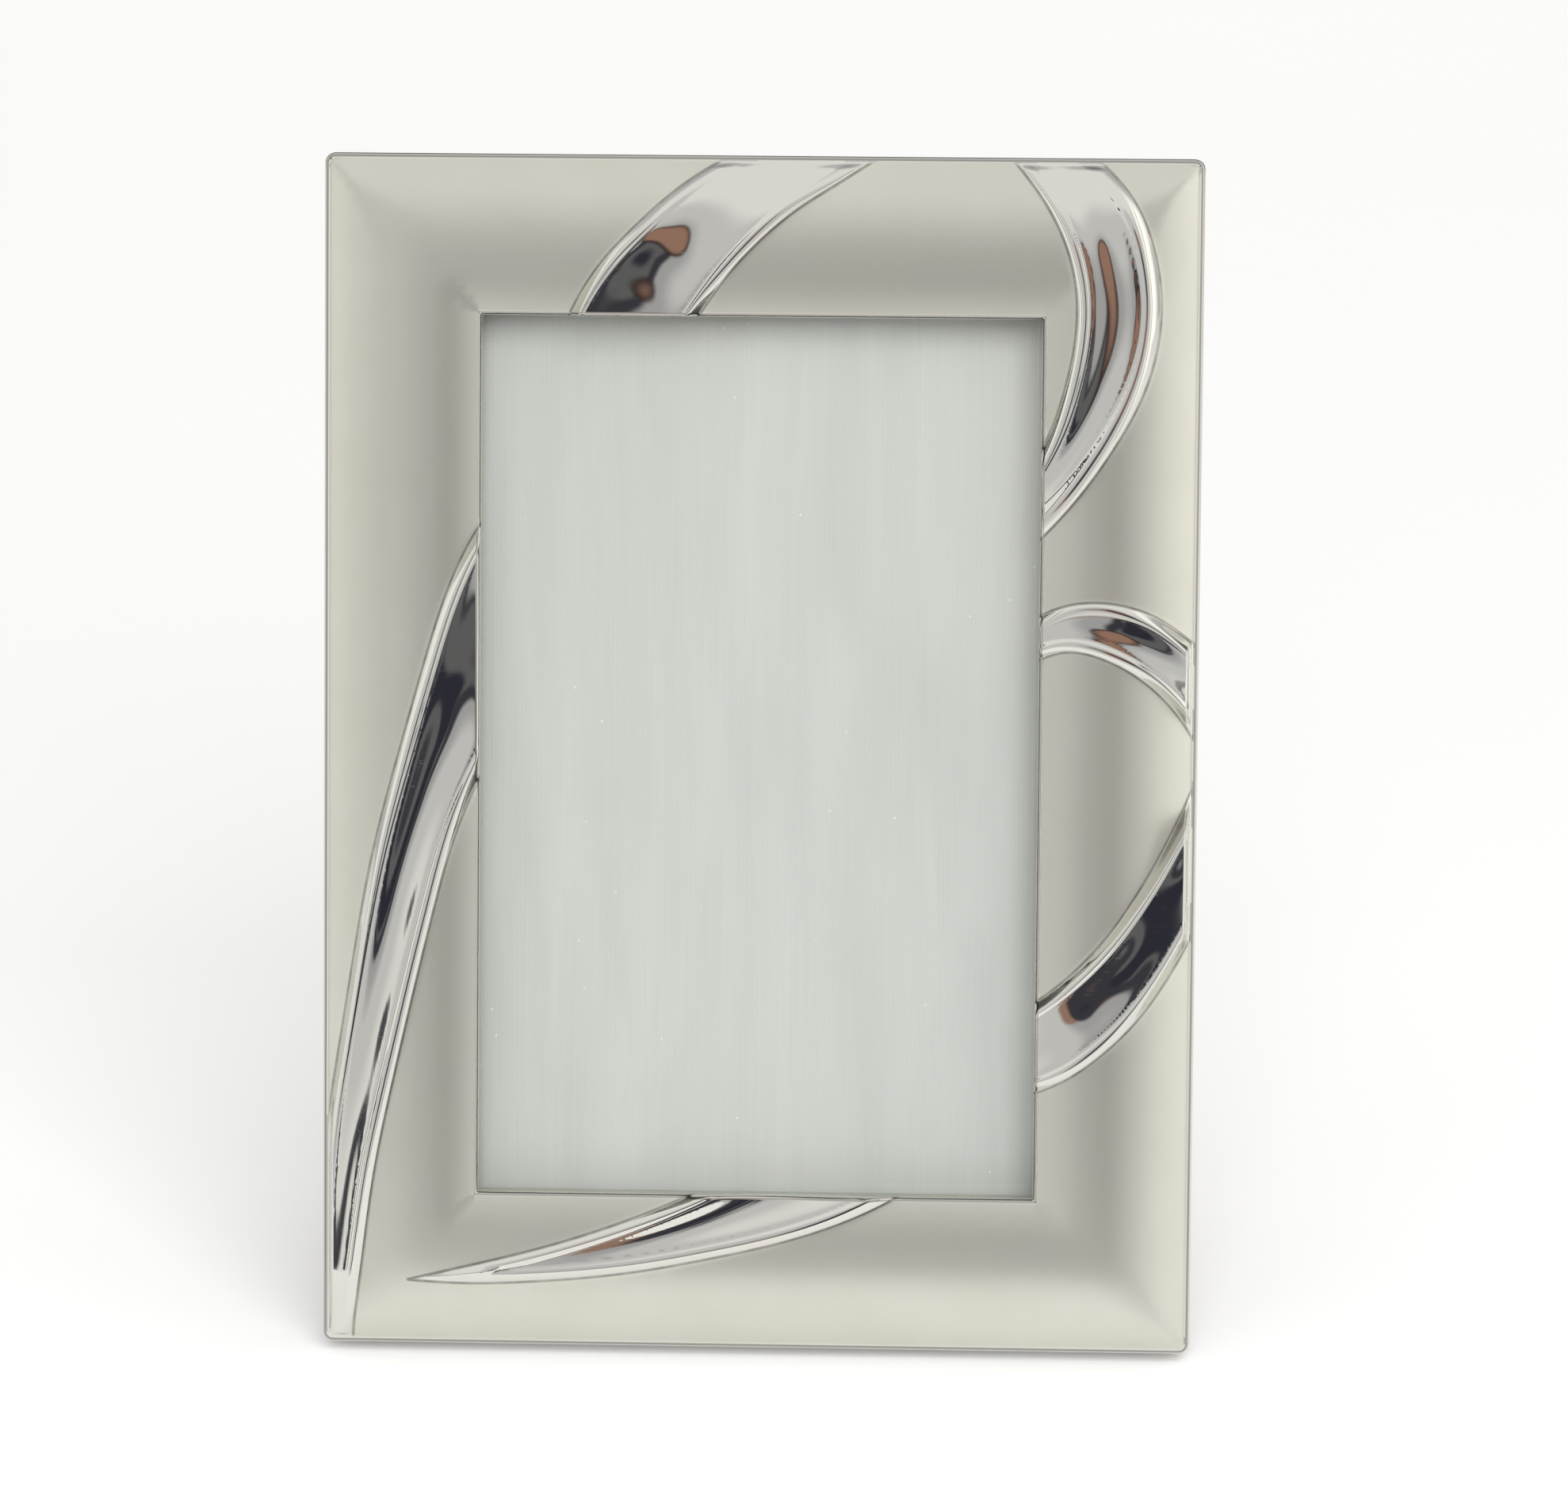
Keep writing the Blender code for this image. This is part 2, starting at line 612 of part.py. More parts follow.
def face_layout(ribbons):
    """Points, edges that must stay and both boundary rings, for the triangulation."""
    points, edges = [], []
    at_rim = (0.0, RIM_STEP * RIM_RADIUS, RIM_RADIUS)
    at_lip = (BORDER - LIP_RADIUS, BORDER - LIP_STEP * LIP_RADIUS, BORDER)
    for ring in [ring_at(inset, OUTLINE_SPACING) for inset in at_rim + at_lip]:
        start = len(points)
        points += [tuple(p) for p in ring]
        edges += [(start + i, start + (i + 1) % len(ring)) for i in range(len(ring))]
    for ribbon in ribbons:
        for line in ribbon_lines(ribbon):
            inside = on_face(line)
            for i, point in enumerate(line):
                if not inside[i]:
                    continue
                points.append(tuple(point))
                if i and inside[i - 1]:
                    edges.append((len(points) - 2, len(points) - 1))
    for depth in np.linspace(FILL_MARGIN, BORDER - FILL_MARGIN, FILL_RINGS):
        ring = ring_at(depth, FILL_SPACING)
        points += [tuple(p) for p in ring[~within(ribbons, ring, RIBBON_MARGIN)]]
    for share in RIM_RINGS:
        ring = ring_at(RELIEF_STARTS + share * FLAT_GROWS_OVER, STATION_STEP)
        points += [tuple(p) for p in ring[within(ribbons, ring, 0.0)]]
    return points, edges


def front_shell_mesh(ribbons):
    """The sheet's outer face: one height over the face, with skirts at the rim and in the window."""
    points, edges = face_layout(ribbons)
    flat = [Vector(p) / MM for p in points]
    placed, _, triangles, *_ = delaunay_2d_cdt(flat, edges, [], 0, 1e-4)
    spots = np.array([(p.x, p.y) for p in placed]) * MM
    heights = relief_height(spots, ribbons)
    bm = bmesh.new()
    verts = [bm.verts.new(frame_point(u, v, w)) for (u, v), w in zip(spots, heights)]
    for triangle in triangles:
        centre = spots[list(triangle)].mean(axis=0)
        if abs(centre[0]) > WINDOW_WIDTH / 2 or abs(centre[1]) > WINDOW_HEIGHT / 2:
            bm.faces.new([verts[i] for i in triangle])
    for vert in [v for v in bm.verts if not v.link_faces]:
        bm.verts.remove(vert)
    bmesh.ops.recalc_face_normals(bm, faces=bm.faces)
    if sum(face.normal.y for face in bm.faces) > 0:
        bmesh.ops.reverse_faces(bm, faces=bm.faces)
    boundary = [edge for edge in bm.edges if edge.is_boundary]
    grown = bmesh.ops.extrude_edge_only(bm, edges=boundary)
    for vert in [item for item in grown["geom"] if isinstance(item, bmesh.types.BMVert)]:
        in_window = abs(vert.co.x) < WINDOW_WIDTH / 2 + MM and abs(vert.co.z) < WINDOW_HEIGHT / 2 + MM
        vert.co.y = -(LEDGE_W + CLEARANCE) if in_window else -SKIRT_FOOT_W
    bmesh.ops.recalc_face_normals(bm, faces=bm.faces)
    top = max(bm.faces, key=lambda face: -face.calc_center_median().y)
    if top.normal.y > 0:
        bmesh.ops.reverse_faces(bm, faces=bm.faces)
    return mesh_from(bm, "front_shell")


def build_front_shell(parent):
    ribbons = [Ribbon(*lines) for lines in RIBBONS.values()]
    shell = add_object("front_shell", front_shell_mesh(ribbons), SILVER, parent)
    sheet = shell.modifiers.new("Sheet thickness", "SOLIDIFY")
    sheet.thickness = SHEET_THICKNESS
    sheet.offset = -1.0
    shade_round(shell, SHEET_SMOOTHED_BELOW)
    return shell


# Wooden rails and corner nails


def rail_section():
    """Cross-section of a rail: distance in from the frame's edge, height over its back."""
    inset = SHEET_THICKNESS + CLEARANCE
    wall = BORDER - inset
    front = []
    for share in np.linspace(0.0, 1.0, RAIL_STEPS):
        depth = inset + RIM_RADIUS + (wall - LIP_RADIUS - inset - RIM_RADIUS) * share
        front.append((depth, float(dome_height(np.array(depth))) - SHEET_THICKNESS - CORE_CLEARANCE))
    shoulder = SKIRT_FOOT_W - CLEARANCE
    outline = [(0.0, 0.0), (0.0, shoulder), (inset, shoulder), (inset, front[0][1] - CORE_SHOULDER)]
    outline += front
    outline += [(wall, front[-1][1] - LIP_RADIUS), (wall, LEDGE_W)]
    outline += [(BORDER - REBATE_WIDTH, LEDGE_W), (BORDER - REBATE_WIDTH, 0.0)]
    return outline


def mitred_rail_mesh(name, section, half_length):
    """The section drawn out along x, each end cut at 45 degrees and blunted at its outer corner."""
    mesh = outline_mesh(name, [section], SECTION_LENGTH)
    bm = bmesh.new()
    bm.from_mesh(mesh)
    mitre_gap = CLEARANCE / math.sqrt(2)
    flange = SHEET_THICKNESS + CLEARANCE
    for vert in bm.verts:
        depth, height, end = vert.co
        reach = half_length - depth - mitre_gap
        if depth < flange + 0.01 * MM:
            reach -= CORNER_BLUNT * (1.0 - BLUNT_AT_FLANGE * depth / flange)
        vert.co = (math.copysign(reach, end), -height, -depth)
    bmesh.ops.recalc_face_normals(bm, faces=bm.faces)
    bm.to_mesh(mesh)
    bm.free()
    return mesh


def nail_outline(grow=0.0):
    """A V of folded strip, its fold at the origin and its legs along -x and -y."""
    half = NAIL_GAUGE / 2 + grow
    far = -(NAIL_LEG + grow)
    return [(half, half), (far, half), (far, -half), (-half, -half), (-half, far), (half, far)]


def build_rails(parent):
    section = rail_section()
    sides = {
        "core_rail_top": (HALF_WIDTH, HALF_HEIGHT, 0.0),
        "core_rail_left": (HALF_HEIGHT, HALF_WIDTH, math.pi / 2),
        "core_rail_bottom": (HALF_WIDTH, HALF_HEIGHT, math.pi),
        "core_rail_right": (HALF_HEIGHT, HALF_WIDTH, -math.pi / 2),
    }
    rails = {}
    for name, (half_length, reach, turn) in sides.items():
        place = Euler((0.0, -turn, 0.0)).to_matrix() @ Vector((0.0, 0.0, reach))
        mesh = mitred_rail_mesh(name, section, half_length)
        rails[name] = add_object(name, mesh, LACQUERED_WOOD, parent, place, (0.0, -turn, 0.0))
        shade_round(rails[name], RAIL_SMOOTHED_BELOW)
    return rails


def build_corner_nails(parent, rails):
    """A V nail driven across each mitre from the back, in a slot of its own shape."""
    corners = (
        ("top_right", 1, 1, "core_rail_top", "core_rail_right"),
        ("top_left", -1, 1, "core_rail_top", "core_rail_left"),
        ("bottom_left", -1, -1, "core_rail_bottom", "core_rail_left"),
        ("bottom_right", 1, -1, "core_rail_bottom", "core_rail_right"),
    )
    for label, su, sv, first, second in corners:
        turn = math.atan2(sv, su) - math.pi / 4
        spot = (su * (HALF_WIDTH - NAIL_INSET), sv * (HALF_HEIGHT - NAIL_INSET))
        pose = Euler((math.pi / 2, 0.0, 0.0)).to_matrix() @ Euler((0.0, 0.0, turn)).to_matrix()
        angles = pose.to_euler()
        nail = outline_mesh("corner_nail_" + label, [nail_outline()], NAIL_DEPTH)
        centre = frame_point(*spot, NAIL_DEPTH / 2 + CLEARANCE)
        add_object("corner_nail_" + label, nail, STEEL, parent, centre, angles)
        slot_depth = 2.0 * (NAIL_DEPTH + 2.0 * CLEARANCE)
        slot_mesh = outline_mesh("slot_" + label, [nail_outline(CLEARANCE)], slot_depth)
        slot = add_cutter("slot_" + label, slot_mesh, parent, frame_point(*spot, 0.0), angles)
        for rail in (first, second):
            combine(rails[rail], slot)


# Glass, print, card and back board


def pane(name, recipe, front_w, thickness, inset, parent, round_edges=0.0):
    width = WINDOW_WIDTH + 2.0 * (REBATE_WIDTH - inset)
    height = WINDOW_HEIGHT + 2.0 * (REBATE_WIDTH - inset)
    mesh = box_mesh(name, (width, thickness, height))
    obj = add_object(name, mesh, recipe, parent, frame_point(0.0, 0.0, front_w - thickness / 2))
    if round_edges:
        soften_edges(obj, round_edges)
    return obj


def build_pack(parent):
    pane("glass_pane", GLASS, GLASS_FRONT_W, GLASS_THICKNESS, CLEARANCE, parent, GLASS_EDGE_ROUND)
    pane("photo_insert", PAPER, PRINT_FRONT_W, PRINT_THICKNESS, 2.0 * CLEARANCE, parent)
    pane("backing_card", CARD, CARD_FRONT_W, CARD_THICKNESS, 2.0 * CLEARANCE, parent)
    board = pane("back_board", BOARD_WOOD, BOARD_FRONT_W, BOARD_THICKNESS, CLEARANCE, parent, EDGE_ROUND)
    return board


# Hinge, strut and their screws


def leaf(name, parent, side, knuckles, clearances, recipe=STEEL):
    """A hinge leaf hanging down from the pin: side -1 lies on the board, +1 on the strut."""
    near, far = KNUCKLE_RADIUS - LEAF_THICKNESS, KNUCKLE_RADIUS
    centre = (0.0, side * (near + far) / 2, -LEAF_LENGTH / 2)
    obj = add_object(name, box_mesh(name, (HINGE_WIDTH, LEAF_THICKNESS, LEAF_LENGTH), centre), recipe, parent)
    for index, (middle, length) in enumerate(clearances):
        room = cylinder_mesh("room", KNUCKLE_RADIUS + CLEARANCE, length, "X", (middle, 0.0, 0.0))
        combine(obj, add_cutter(f"{name}_room_{index}", room, parent))
    for index, (middle, length) in enumerate(knuckles):
        barrel = cylinder_mesh("barrel", KNUCKLE_RADIUS, length, "X", (middle, 0.0, 0.0))
        combine(obj, add_cutter(f"{name}_barrel_{index}", barrel, parent), "UNION")
    bore = cylinder_mesh("bore", PIN_RADIUS + CLEARANCE, 2.0 * HINGE_WIDTH)
    combine(obj, add_cutter(name + "_bore", bore, parent))
    return obj


def hinge_screws(name, parent, side, height, leaf_obj, into):
    """Two screws through a leaf: their heads lie on the leaf's face towards the other leaf."""
    turn = (side * math.pi / 2, 0.0, 0.0)
    seat = side * (KNUCKLE_RADIUS - LEAF_THICKNESS - CLEARANCE)
    for index, x in enumerate((-HINGE_SCREW_SPACING / 2, HINGE_SCREW_SPACING / 2)):
        spot = (x, seat, -height)
        head = (HINGE_SCREW_HEAD, HINGE_SCREW_HEAD_HEIGHT)
        shank = (HINGE_SCREW_SHANK, HINGE_SCREW_LENGTH + LEAF_THICKNESS + 2.0 * CLEARANCE)
        turned_screw(f"{name}_{index + 1}", STEEL, head, shank, parent, spot, turn)
        depth = 2.0 * (shank[1] + CLEARANCE)
        hole_mesh = cylinder_mesh("hole", HINGE_SCREW_SHANK + CLEARANCE, depth, "Y", segments=SCREW_STEPS)
        hole = add_cutter(f"{name}_hole_{index + 1}", hole_mesh, parent, spot)
        combine(leaf_obj, hole)
        combine(into, hole)


def strut_mesh():
    """The strut's side section drawn across its width, narrower at the top, in the hinge's axes."""
    inner = KNUCKLE_RADIUS + CLEARANCE
    outer = inner + STRUT_THICKNESS
    pivot_height = HINGE_HEIGHT * math.cos(LEAN) + PIVOT_W * math.sin(LEAN)
    heel_gap = PIN_TO_BOARD - CLEARANCE

    def foot(n):
        return (pivot_height + n * math.sin(FOOT_ANGLE)) / math.cos(FOOT_ANGLE)

    def heel(n):
        return -(heel_gap + n * math.cos(STRUT_OPENING)) / math.sin(STRUT_OPENING)

    section = [(inner, -foot(inner)), (outer, -foot(outer)), (outer, -heel(outer)), (inner, -heel(inner))]
    mesh = outline_mesh("easel_strut", [section], SECTION_LENGTH)
    low, high = -foot(outer), -heel(outer)
    bm = bmesh.new()
    bm.from_mesh(mesh)
    for vert in bm.verts:
        n, along, across = vert.co
        share = (high - along) / (high - low)
        half = (STRUT_TOP_WIDTH + (STRUT_FOOT_WIDTH - STRUT_TOP_WIDTH) * share) / 2
        vert.co = (math.copysign(half, across), n, along)
    bmesh.ops.recalc_face_normals(bm, faces=bm.faces)
    bm.to_mesh(mesh)
    bm.free()
    return mesh


def build_hinge_and_strut(parent, board):
    pivot = frame_point(0.0, PIVOT_V, PIVOT_W)
    fixed = add_empty("hinge_seat", pivot, (0.0, 0.0, 0.0), parent)
    swinging = add_empty("strut_pivot", pivot, (STRUT_OPENING, 0.0, 0.0), parent)
    side_knuckle = (HINGE_WIDTH - MIDDLE_KNUCKLE) / 2 - CLEARANCE
    side_middle = (HINGE_WIDTH - side_knuckle) / 2
    sides = [(-side_middle, side_knuckle), (side_middle, side_knuckle)]
    side_rooms = [(x, length + 2.0 * CLEARANCE) for x, length in sides]
    middle = [(0.0, MIDDLE_KNUCKLE)]
    middle_room = [(0.0, MIDDLE_KNUCKLE + 2.0 * CLEARANCE)]

    fixed_leaf = leaf("hinge_fixed_leaf", fixed, -1, sides, middle_room)
    moving_leaf = leaf("hinge_moving_leaf", swinging, 1, middle, side_rooms)
    add_object("hinge_pin", cylinder_mesh("hinge_pin", PIN_RADIUS, HINGE_WIDTH), STEEL, fixed)
    strut = add_object("easel_strut", strut_mesh(), BOARD_WOOD, swinging)
    soften_edges(strut)
    hinge_screws("fixed_leaf_screw", fixed, -1, FIXED_SCREWS_AT * LEAF_LENGTH, fixed_leaf, board)
    hinge_screws("moving_leaf_screw", swinging, 1, MOVING_SCREWS_AT * LEAF_LENGTH, moving_leaf, strut)
    return strut


# Turn buttons


def button_outline():
    """A plate with round ends, its pivot hole at the origin and its tongue along x."""
    radius = BUTTON_WIDTH / 2
    tongue = arc((BUTTON_REACH - radius, 0.0), radius, -90, 90, 8)
    tail = arc((-BUTTON_TAIL + radius, 0.0), radius, 90, 270, 8)
    hole = arc((0.0, 0.0), BUTTON_SCREW_SHANK + CLEARANCE, 0, 330, 11)
    return [tongue + tail, hole]


def build_turn_buttons(parent, rails):
    """Two buttons on each side rail, their tongues over the back board."""
    pivot_u = WINDOW_WIDTH / 2 + REBATE_WIDTH + BUTTON_PIVOT_INSET
    plate_w = -CLEARANCE - BUTTON_THICKNESS / 2
    for side, su in (("left", -1), ("right", 1)):
        for level, sv in (("upper", 1), ("lower", -1)):
            label = f"{side}_{level}"
            spot = (su * pivot_u, sv * BUTTON_SPAN_V / 2)
            pivot = add_empty(f"button_pivot_{label}", frame_point(*spot, 0.0), (0.0, 0.0, 0.0), parent)
            turn = (math.pi / 2, 0.0 if su < 0 else math.pi, 0.0)
            name = f"turn_button_{label}"
            mesh = outline_mesh(name, button_outline(), BUTTON_THICKNESS)
            add_object(name, mesh, BRASS, pivot, (0.0, -plate_w, 0.0), turn)
            head_seat = CLEARANCE + BUTTON_THICKNESS + CLEARANCE
            head = (BUTTON_SCREW_HEAD, BUTTON_SCREW_HEAD_HEIGHT)
            shank = (BUTTON_SCREW_SHANK, BUTTON_SCREW_LENGTH + head_seat)
            place = frame_point(*spot, -head_seat)
            pointing = (-math.pi / 2, 0.0, 0.0)
            turned_screw(f"turn_button_screw_{label}", BRASS, head, shank, parent, place, pointing)
            hole_radius = BUTTON_SCREW_SHANK + CLEARANCE
            hole_length = 2.0 * (BUTTON_SCREW_LENGTH + CLEARANCE)
            hole_mesh = cylinder_mesh("hole", hole_radius, hole_length, "Y", segments=SCREW_STEPS)
            combine(rails[f"core_rail_{side}"], add_cutter(f"button_hole_{label}", hole_mesh, pivot))


# Assembly


def centre_footprint(root):
    """Moves the frame along y so that the origin lies midway between its front and the strut's foot."""
    bpy.context.view_layer.update()
    graph = bpy.context.evaluated_depsgraph_get()
    depths = []
    for name in ("front_shell", "easel_strut"):
        solid = bpy.data.objects[name].evaluated_get(graph)
        depths += [(solid.matrix_world @ vert.co).y for vert in solid.data.vertices]
    root.location.y -= (min(depths) + max(depths)) / 2


clear_scene()
PARTS = make_collection("silver_photo_frame")
CUTTERS = make_collection("cutters", hidden=True)

lean = add_empty("frame_lean", (0.0, 0.0, HALF_HEIGHT * math.cos(LEAN)), (-LEAN, 0.0, 0.0))
build_front_shell(lean)
core_rails = build_rails(lean)
build_corner_nails(lean, core_rails)
back_board = build_pack(lean)
build_hinge_and_strut(lean, back_board)
build_turn_buttons(lean, core_rails)
centre_footprint(lean)
bpy.context.view_layer.update()
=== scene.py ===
import math

import bmesh
import bpy
import numpy as np
from mathutils import Matrix, Vector


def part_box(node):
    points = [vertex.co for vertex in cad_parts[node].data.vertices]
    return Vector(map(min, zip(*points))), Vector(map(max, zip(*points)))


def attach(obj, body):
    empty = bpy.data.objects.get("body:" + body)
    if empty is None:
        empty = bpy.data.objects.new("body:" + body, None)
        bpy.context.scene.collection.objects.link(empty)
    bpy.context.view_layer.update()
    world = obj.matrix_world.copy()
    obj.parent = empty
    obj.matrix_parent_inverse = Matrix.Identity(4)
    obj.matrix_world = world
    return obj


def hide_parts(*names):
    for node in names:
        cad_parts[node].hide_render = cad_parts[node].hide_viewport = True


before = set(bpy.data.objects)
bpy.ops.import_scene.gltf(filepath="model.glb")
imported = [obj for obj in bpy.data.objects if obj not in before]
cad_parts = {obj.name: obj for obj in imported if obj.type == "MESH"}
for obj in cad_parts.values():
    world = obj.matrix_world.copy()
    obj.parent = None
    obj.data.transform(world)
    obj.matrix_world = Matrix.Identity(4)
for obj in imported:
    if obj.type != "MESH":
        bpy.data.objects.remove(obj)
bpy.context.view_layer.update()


# Wooden rails
# Four mitred lengths of softwood moulding, stained dark brown and lacquered,
# glued at the corners. Everything else in the frame is fixed to them.

MM = 0.001
LEAN = math.radians(14.0)
PANE_MIDDLE_OUT = 7.3
ACROSS = Vector((1.0, 0.0, 0.0))
UP = Vector((0.0, math.sin(LEAN), math.cos(LEAN)))
OUT = Vector((0.0, -math.cos(LEAN), math.sin(LEAN)))

pane_low, pane_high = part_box("glass_pane")
frame_origin = (pane_low + pane_high) / 2 - OUT * PANE_MIDDLE_OUT * MM
FRAME_AXES = Matrix((ACROSS, UP, OUT))
# Millimetres across, up and out of the frame, turned into metres in the scene
FRAME_TO_SCENE = Matrix.Translation(frame_origin) @ FRAME_AXES.transposed().to_4x4() @ Matrix.Scale(MM, 4)

RAIL_EDGE = 0.3
SAME_PLACE = 2e-6
NO_LENGTH = 1e-7
FLAT_WITHIN = 0.5
QUARTER_TURN = math.pi / 2
EARLY_WOOD = (0.105, 0.047, 0.022, 1.0)
LATE_WOOD = (0.040, 0.017, 0.009, 1.0)


def fill(tree, made, values):
    """Sets a node's inputs, where a socket as a value makes a link."""
    for key, value in values.items():
        if isinstance(value, bpy.types.NodeSocket):
            tree.links.new(value, made.inputs[key])
        else:
            made.inputs[key].default_value = value


def node(tree, kind, values, **settings):
    made = tree.nodes.new("ShaderNode" + kind)
    for setting, value in settings.items():
        setattr(made, setting, value)
    fill(tree, made, values)
    return made


def maths(tree, operation, first, second=0.0, third=0.0, clamp=False):
    values = {0: first, 1: second, 2: third}
    return node(tree, "Math", values, operation=operation, use_clamp=clamp).outputs[0]


def scaled(tree, value, factor, plus=0.0, clamp=False):
    return maths(tree, "MULTIPLY_ADD", value, factor, plus, clamp)


def vector_maths(tree, operation, first, second=(0.0, 0.0, 0.0)):
    made = node(tree, "VectorMath", {0: first, 1: second}, operation=operation)
    return made.outputs["Value" if operation in ("LENGTH", "DOT_PRODUCT") else "Vector"]


def stretched(tree, place, scales):
    return vector_maths(tree, "MULTIPLY", place, scales)


def mix_colour(tree, factor, first, second):
    return node(tree, "Mix", {0: factor, 6: first, 7: second}, data_type="RGBA").outputs[2]


def remap(tree, value, from_low, from_high, to_low=0.0, to_high=1.0, style="LINEAR"):
    values = {0: value, 1: from_low, 2: from_high, 3: to_low, 4: to_high}
    return node(tree, "MapRange", values, interpolation_type=style).outputs[0]


def rising(tree, value, low, high):
    return remap(tree, value, low, high, style="SMOOTHSTEP")


def falling(tree, value, low, high):
    return remap(tree, value, low, high, 1.0, 0.0, "SMOOTHSTEP")


def noise(tree, vector, scale, detail=2.0, roughness=0.5, distortion=0.0):
    values = {"Vector": vector, "Scale": scale, "Detail": detail, "Roughness": roughness,
              "Distortion": distortion}
    return node(tree, "TexNoise", values).outputs["Fac"]


def new_group(name, inputs, outputs):
    """An empty node group with named sockets, what its input node gives, and its output node."""
    tree = bpy.data.node_groups.new(name, "ShaderNodeTree")
    for socket, kind, value in inputs:
        made = tree.interface.new_socket(name=socket, in_out="INPUT", socket_type="NodeSocket" + kind)
        if value is not None:
            made.default_value = value
    for socket, kind in outputs:
        tree.interface.new_socket(name=socket, in_out="OUTPUT", socket_type="NodeSocket" + kind)
    return tree, tree.nodes.new("NodeGroupInput").outputs, tree.nodes.new("NodeGroupOutput")


def use_group(tree, group, values):
    return node(tree, "Group", values, node_tree=group).outputs


def new_material(name):
    material = bpy.data.materials.new(name)
    material.use_nodes = True
    tree = material.node_tree
    return material, tree, tree.nodes["Principled BSDF"]


def mapped(tree, place, turn, scales=(1.0, 1.0, 1.0)):
    values = {"Vector": place, "Rotation": turn, "Scale": scales}
    return node(tree, "Mapping", values).outputs[0]


def frame_millimetres(tree, turn=(0.0, 0.0, 0.0)):
    """Millimetres from the frame's middle: x across, y back through it and z up it, then turned."""
    place = node(tree, "TexCoord", {}).outputs["Object"]
    centred = vector_maths(tree, "SUBTRACT", place, tuple(frame_origin))
    return mapped(tree, mapped(tree, centred, (LEAN, 0.0, 0.0), (1000.0,) * 3), turn)


def bump(tree, height, distance):
    return node(tree, "Bump", {"Height": height, "Distance": distance}).outputs[0]


def wood_grain_group():
    """Growth rings, drawn-out pores and lacquer, with the grain along x in millimetres."""
    tree, given, result = new_group(
        "wood_grain",
        [("Position", "Vector", None), ("Early Wood", "Color", None), ("Late Wood", "Color", None),
         ("Ring Spacing", "Float", 3.2), ("Gloss Roughness", "Float", 0.34)],
        [("Colour", "Color"), ("Roughness", "Float"), ("Height", "Float")],
    )
    drawn = stretched(tree, given["Position"], (0.045, 1.0, 1.0))
    sway = noise(tree, drawn, 0.09, 3.0, 0.55)
    radius = vector_maths(tree, "LENGTH", vector_maths(tree, "ADD", drawn, (0.0, 31.0, 47.0)))
    wandering = scaled(tree, sway, 17.0, radius)
    turns = maths(tree, "FRACT", maths(tree, "DIVIDE", wandering, given["Ring Spacing"]))
    late = rising(tree, turns, 0.35, 0.97)
    pores = noise(tree, stretched(tree, given["Position"], (0.16, 4.5, 4.5)), 0.9, 3.0, 0.6)
    pore = rising(tree, pores, 0.56, 0.72)
    swaying = scaled(tree, sway, 0.45)
    shade = maths(tree, "ADD", scaled(tree, late, 0.62), swaying, clamp=True)
    plain = mix_colour(tree, shade, given["Early Wood"], given["Late Wood"])
    dark = mix_colour(tree, scaled(tree, pore, 0.65), plain, given["Late Wood"])
    patchy = noise(tree, given["Position"], 0.07, 4.0, 0.6)
    dull = scaled(tree, pore, 0.14, remap(tree, patchy, 0.3, 0.7, -0.05, 0.07))
    rough = maths(tree, "ADD", dull, given["Gloss Roughness"])
    sunk = scaled(tree, pore, -0.8, scaled(tree, late, 0.3))
    fill(tree, result, {"Colour": dark, "Roughness": rough, "Height": sunk})
    return tree


wood_grain = wood_grain_group()


def lacquered_wood(name, early, late, turn, spacing=3.2, roughness=0.34):
    material, tree, shader = new_material(name)
    values = {"Position": frame_millimetres(tree, turn), "Early Wood": early, "Late Wood": late,
              "Ring Spacing": spacing, "Gloss Roughness": roughness}
    grain = use_group(tree, wood_grain, values)
    fill(tree, shader, {
        "Base Color": grain["Colour"], "Roughness": grain["Roughness"],
        "Coat Weight": 0.25, "Coat Roughness": 0.18, "Normal": bump(tree, grain["Height"], 0.00006),
    })
    return material


def in_scene(name, data):
    made = bpy.data.objects.new(name, data)
    bpy.context.scene.collection.objects.link(made)
    return made


def mesh_object(name, bm, material):
    mesh = bpy.data.meshes.new(name)
    bm.to_mesh(mesh)
    bm.free()
    mesh.materials.append(material)
    return in_scene(name, mesh)


def add_piece(name, bm, material, body, node_name):
    """Makes the finished mesh a piece that rides on a body and stands for the CAD node."""
    piece = mesh_object(name, bm, material)
    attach(piece, body)
    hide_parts(node_name)
    return piece


def shade_round(piece, angle):
    piece.data.shade_smooth()
    piece.data.set_sharp_from_angle(angle=math.radians(angle))


def finer_copy(node_name, material, body, edge, segments=2, steep=35.0):
    """The CAD solid with its points merged and its edges rounded, standing for the node."""
    bm = bmesh.new()
    bm.from_mesh(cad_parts[node_name].data)
    bmesh.ops.remove_doubles(bm, verts=bm.verts, dist=SAME_PLACE)
    bmesh.ops.dissolve_limit(
        bm, angle_limit=math.radians(FLAT_WITHIN), verts=bm.verts, edges=bm.edges, delimit=set(),
    )
    sharp = [e for e in bm.edges if e.is_manifold and e.calc_face_angle() > math.radians(steep)]
    bmesh.ops.bevel(
        bm, geom=sharp, offset=edge * MM, offset_type="OFFSET", segments=segments, profile=0.5,
        affect="EDGES", clamp_overlap=True, material=-1,
    )
    bmesh.ops.dissolve_degenerate(bm, dist=NO_LENGTH, edges=bm.edges)
    shade_round(add_piece("fine_" + node_name, bm, material, body, node_name), steep)


for side, turn in (("top", 0.0), ("bottom", 0.0), ("left", QUARTER_TURN), ("right", QUARTER_TURN)):
    stained = lacquered_wood(f"stained_wood_{side}", EARLY_WOOD, LATE_WOOD, (0.0, turn, 0.0))
    finer_copy(f"core_rail_{side}", stained, "frame", RAIL_EDGE)


# Corner nails
# Bent strips of zinc-plated steel, driven across each mitre from the back
# so that the glued corner can't open.

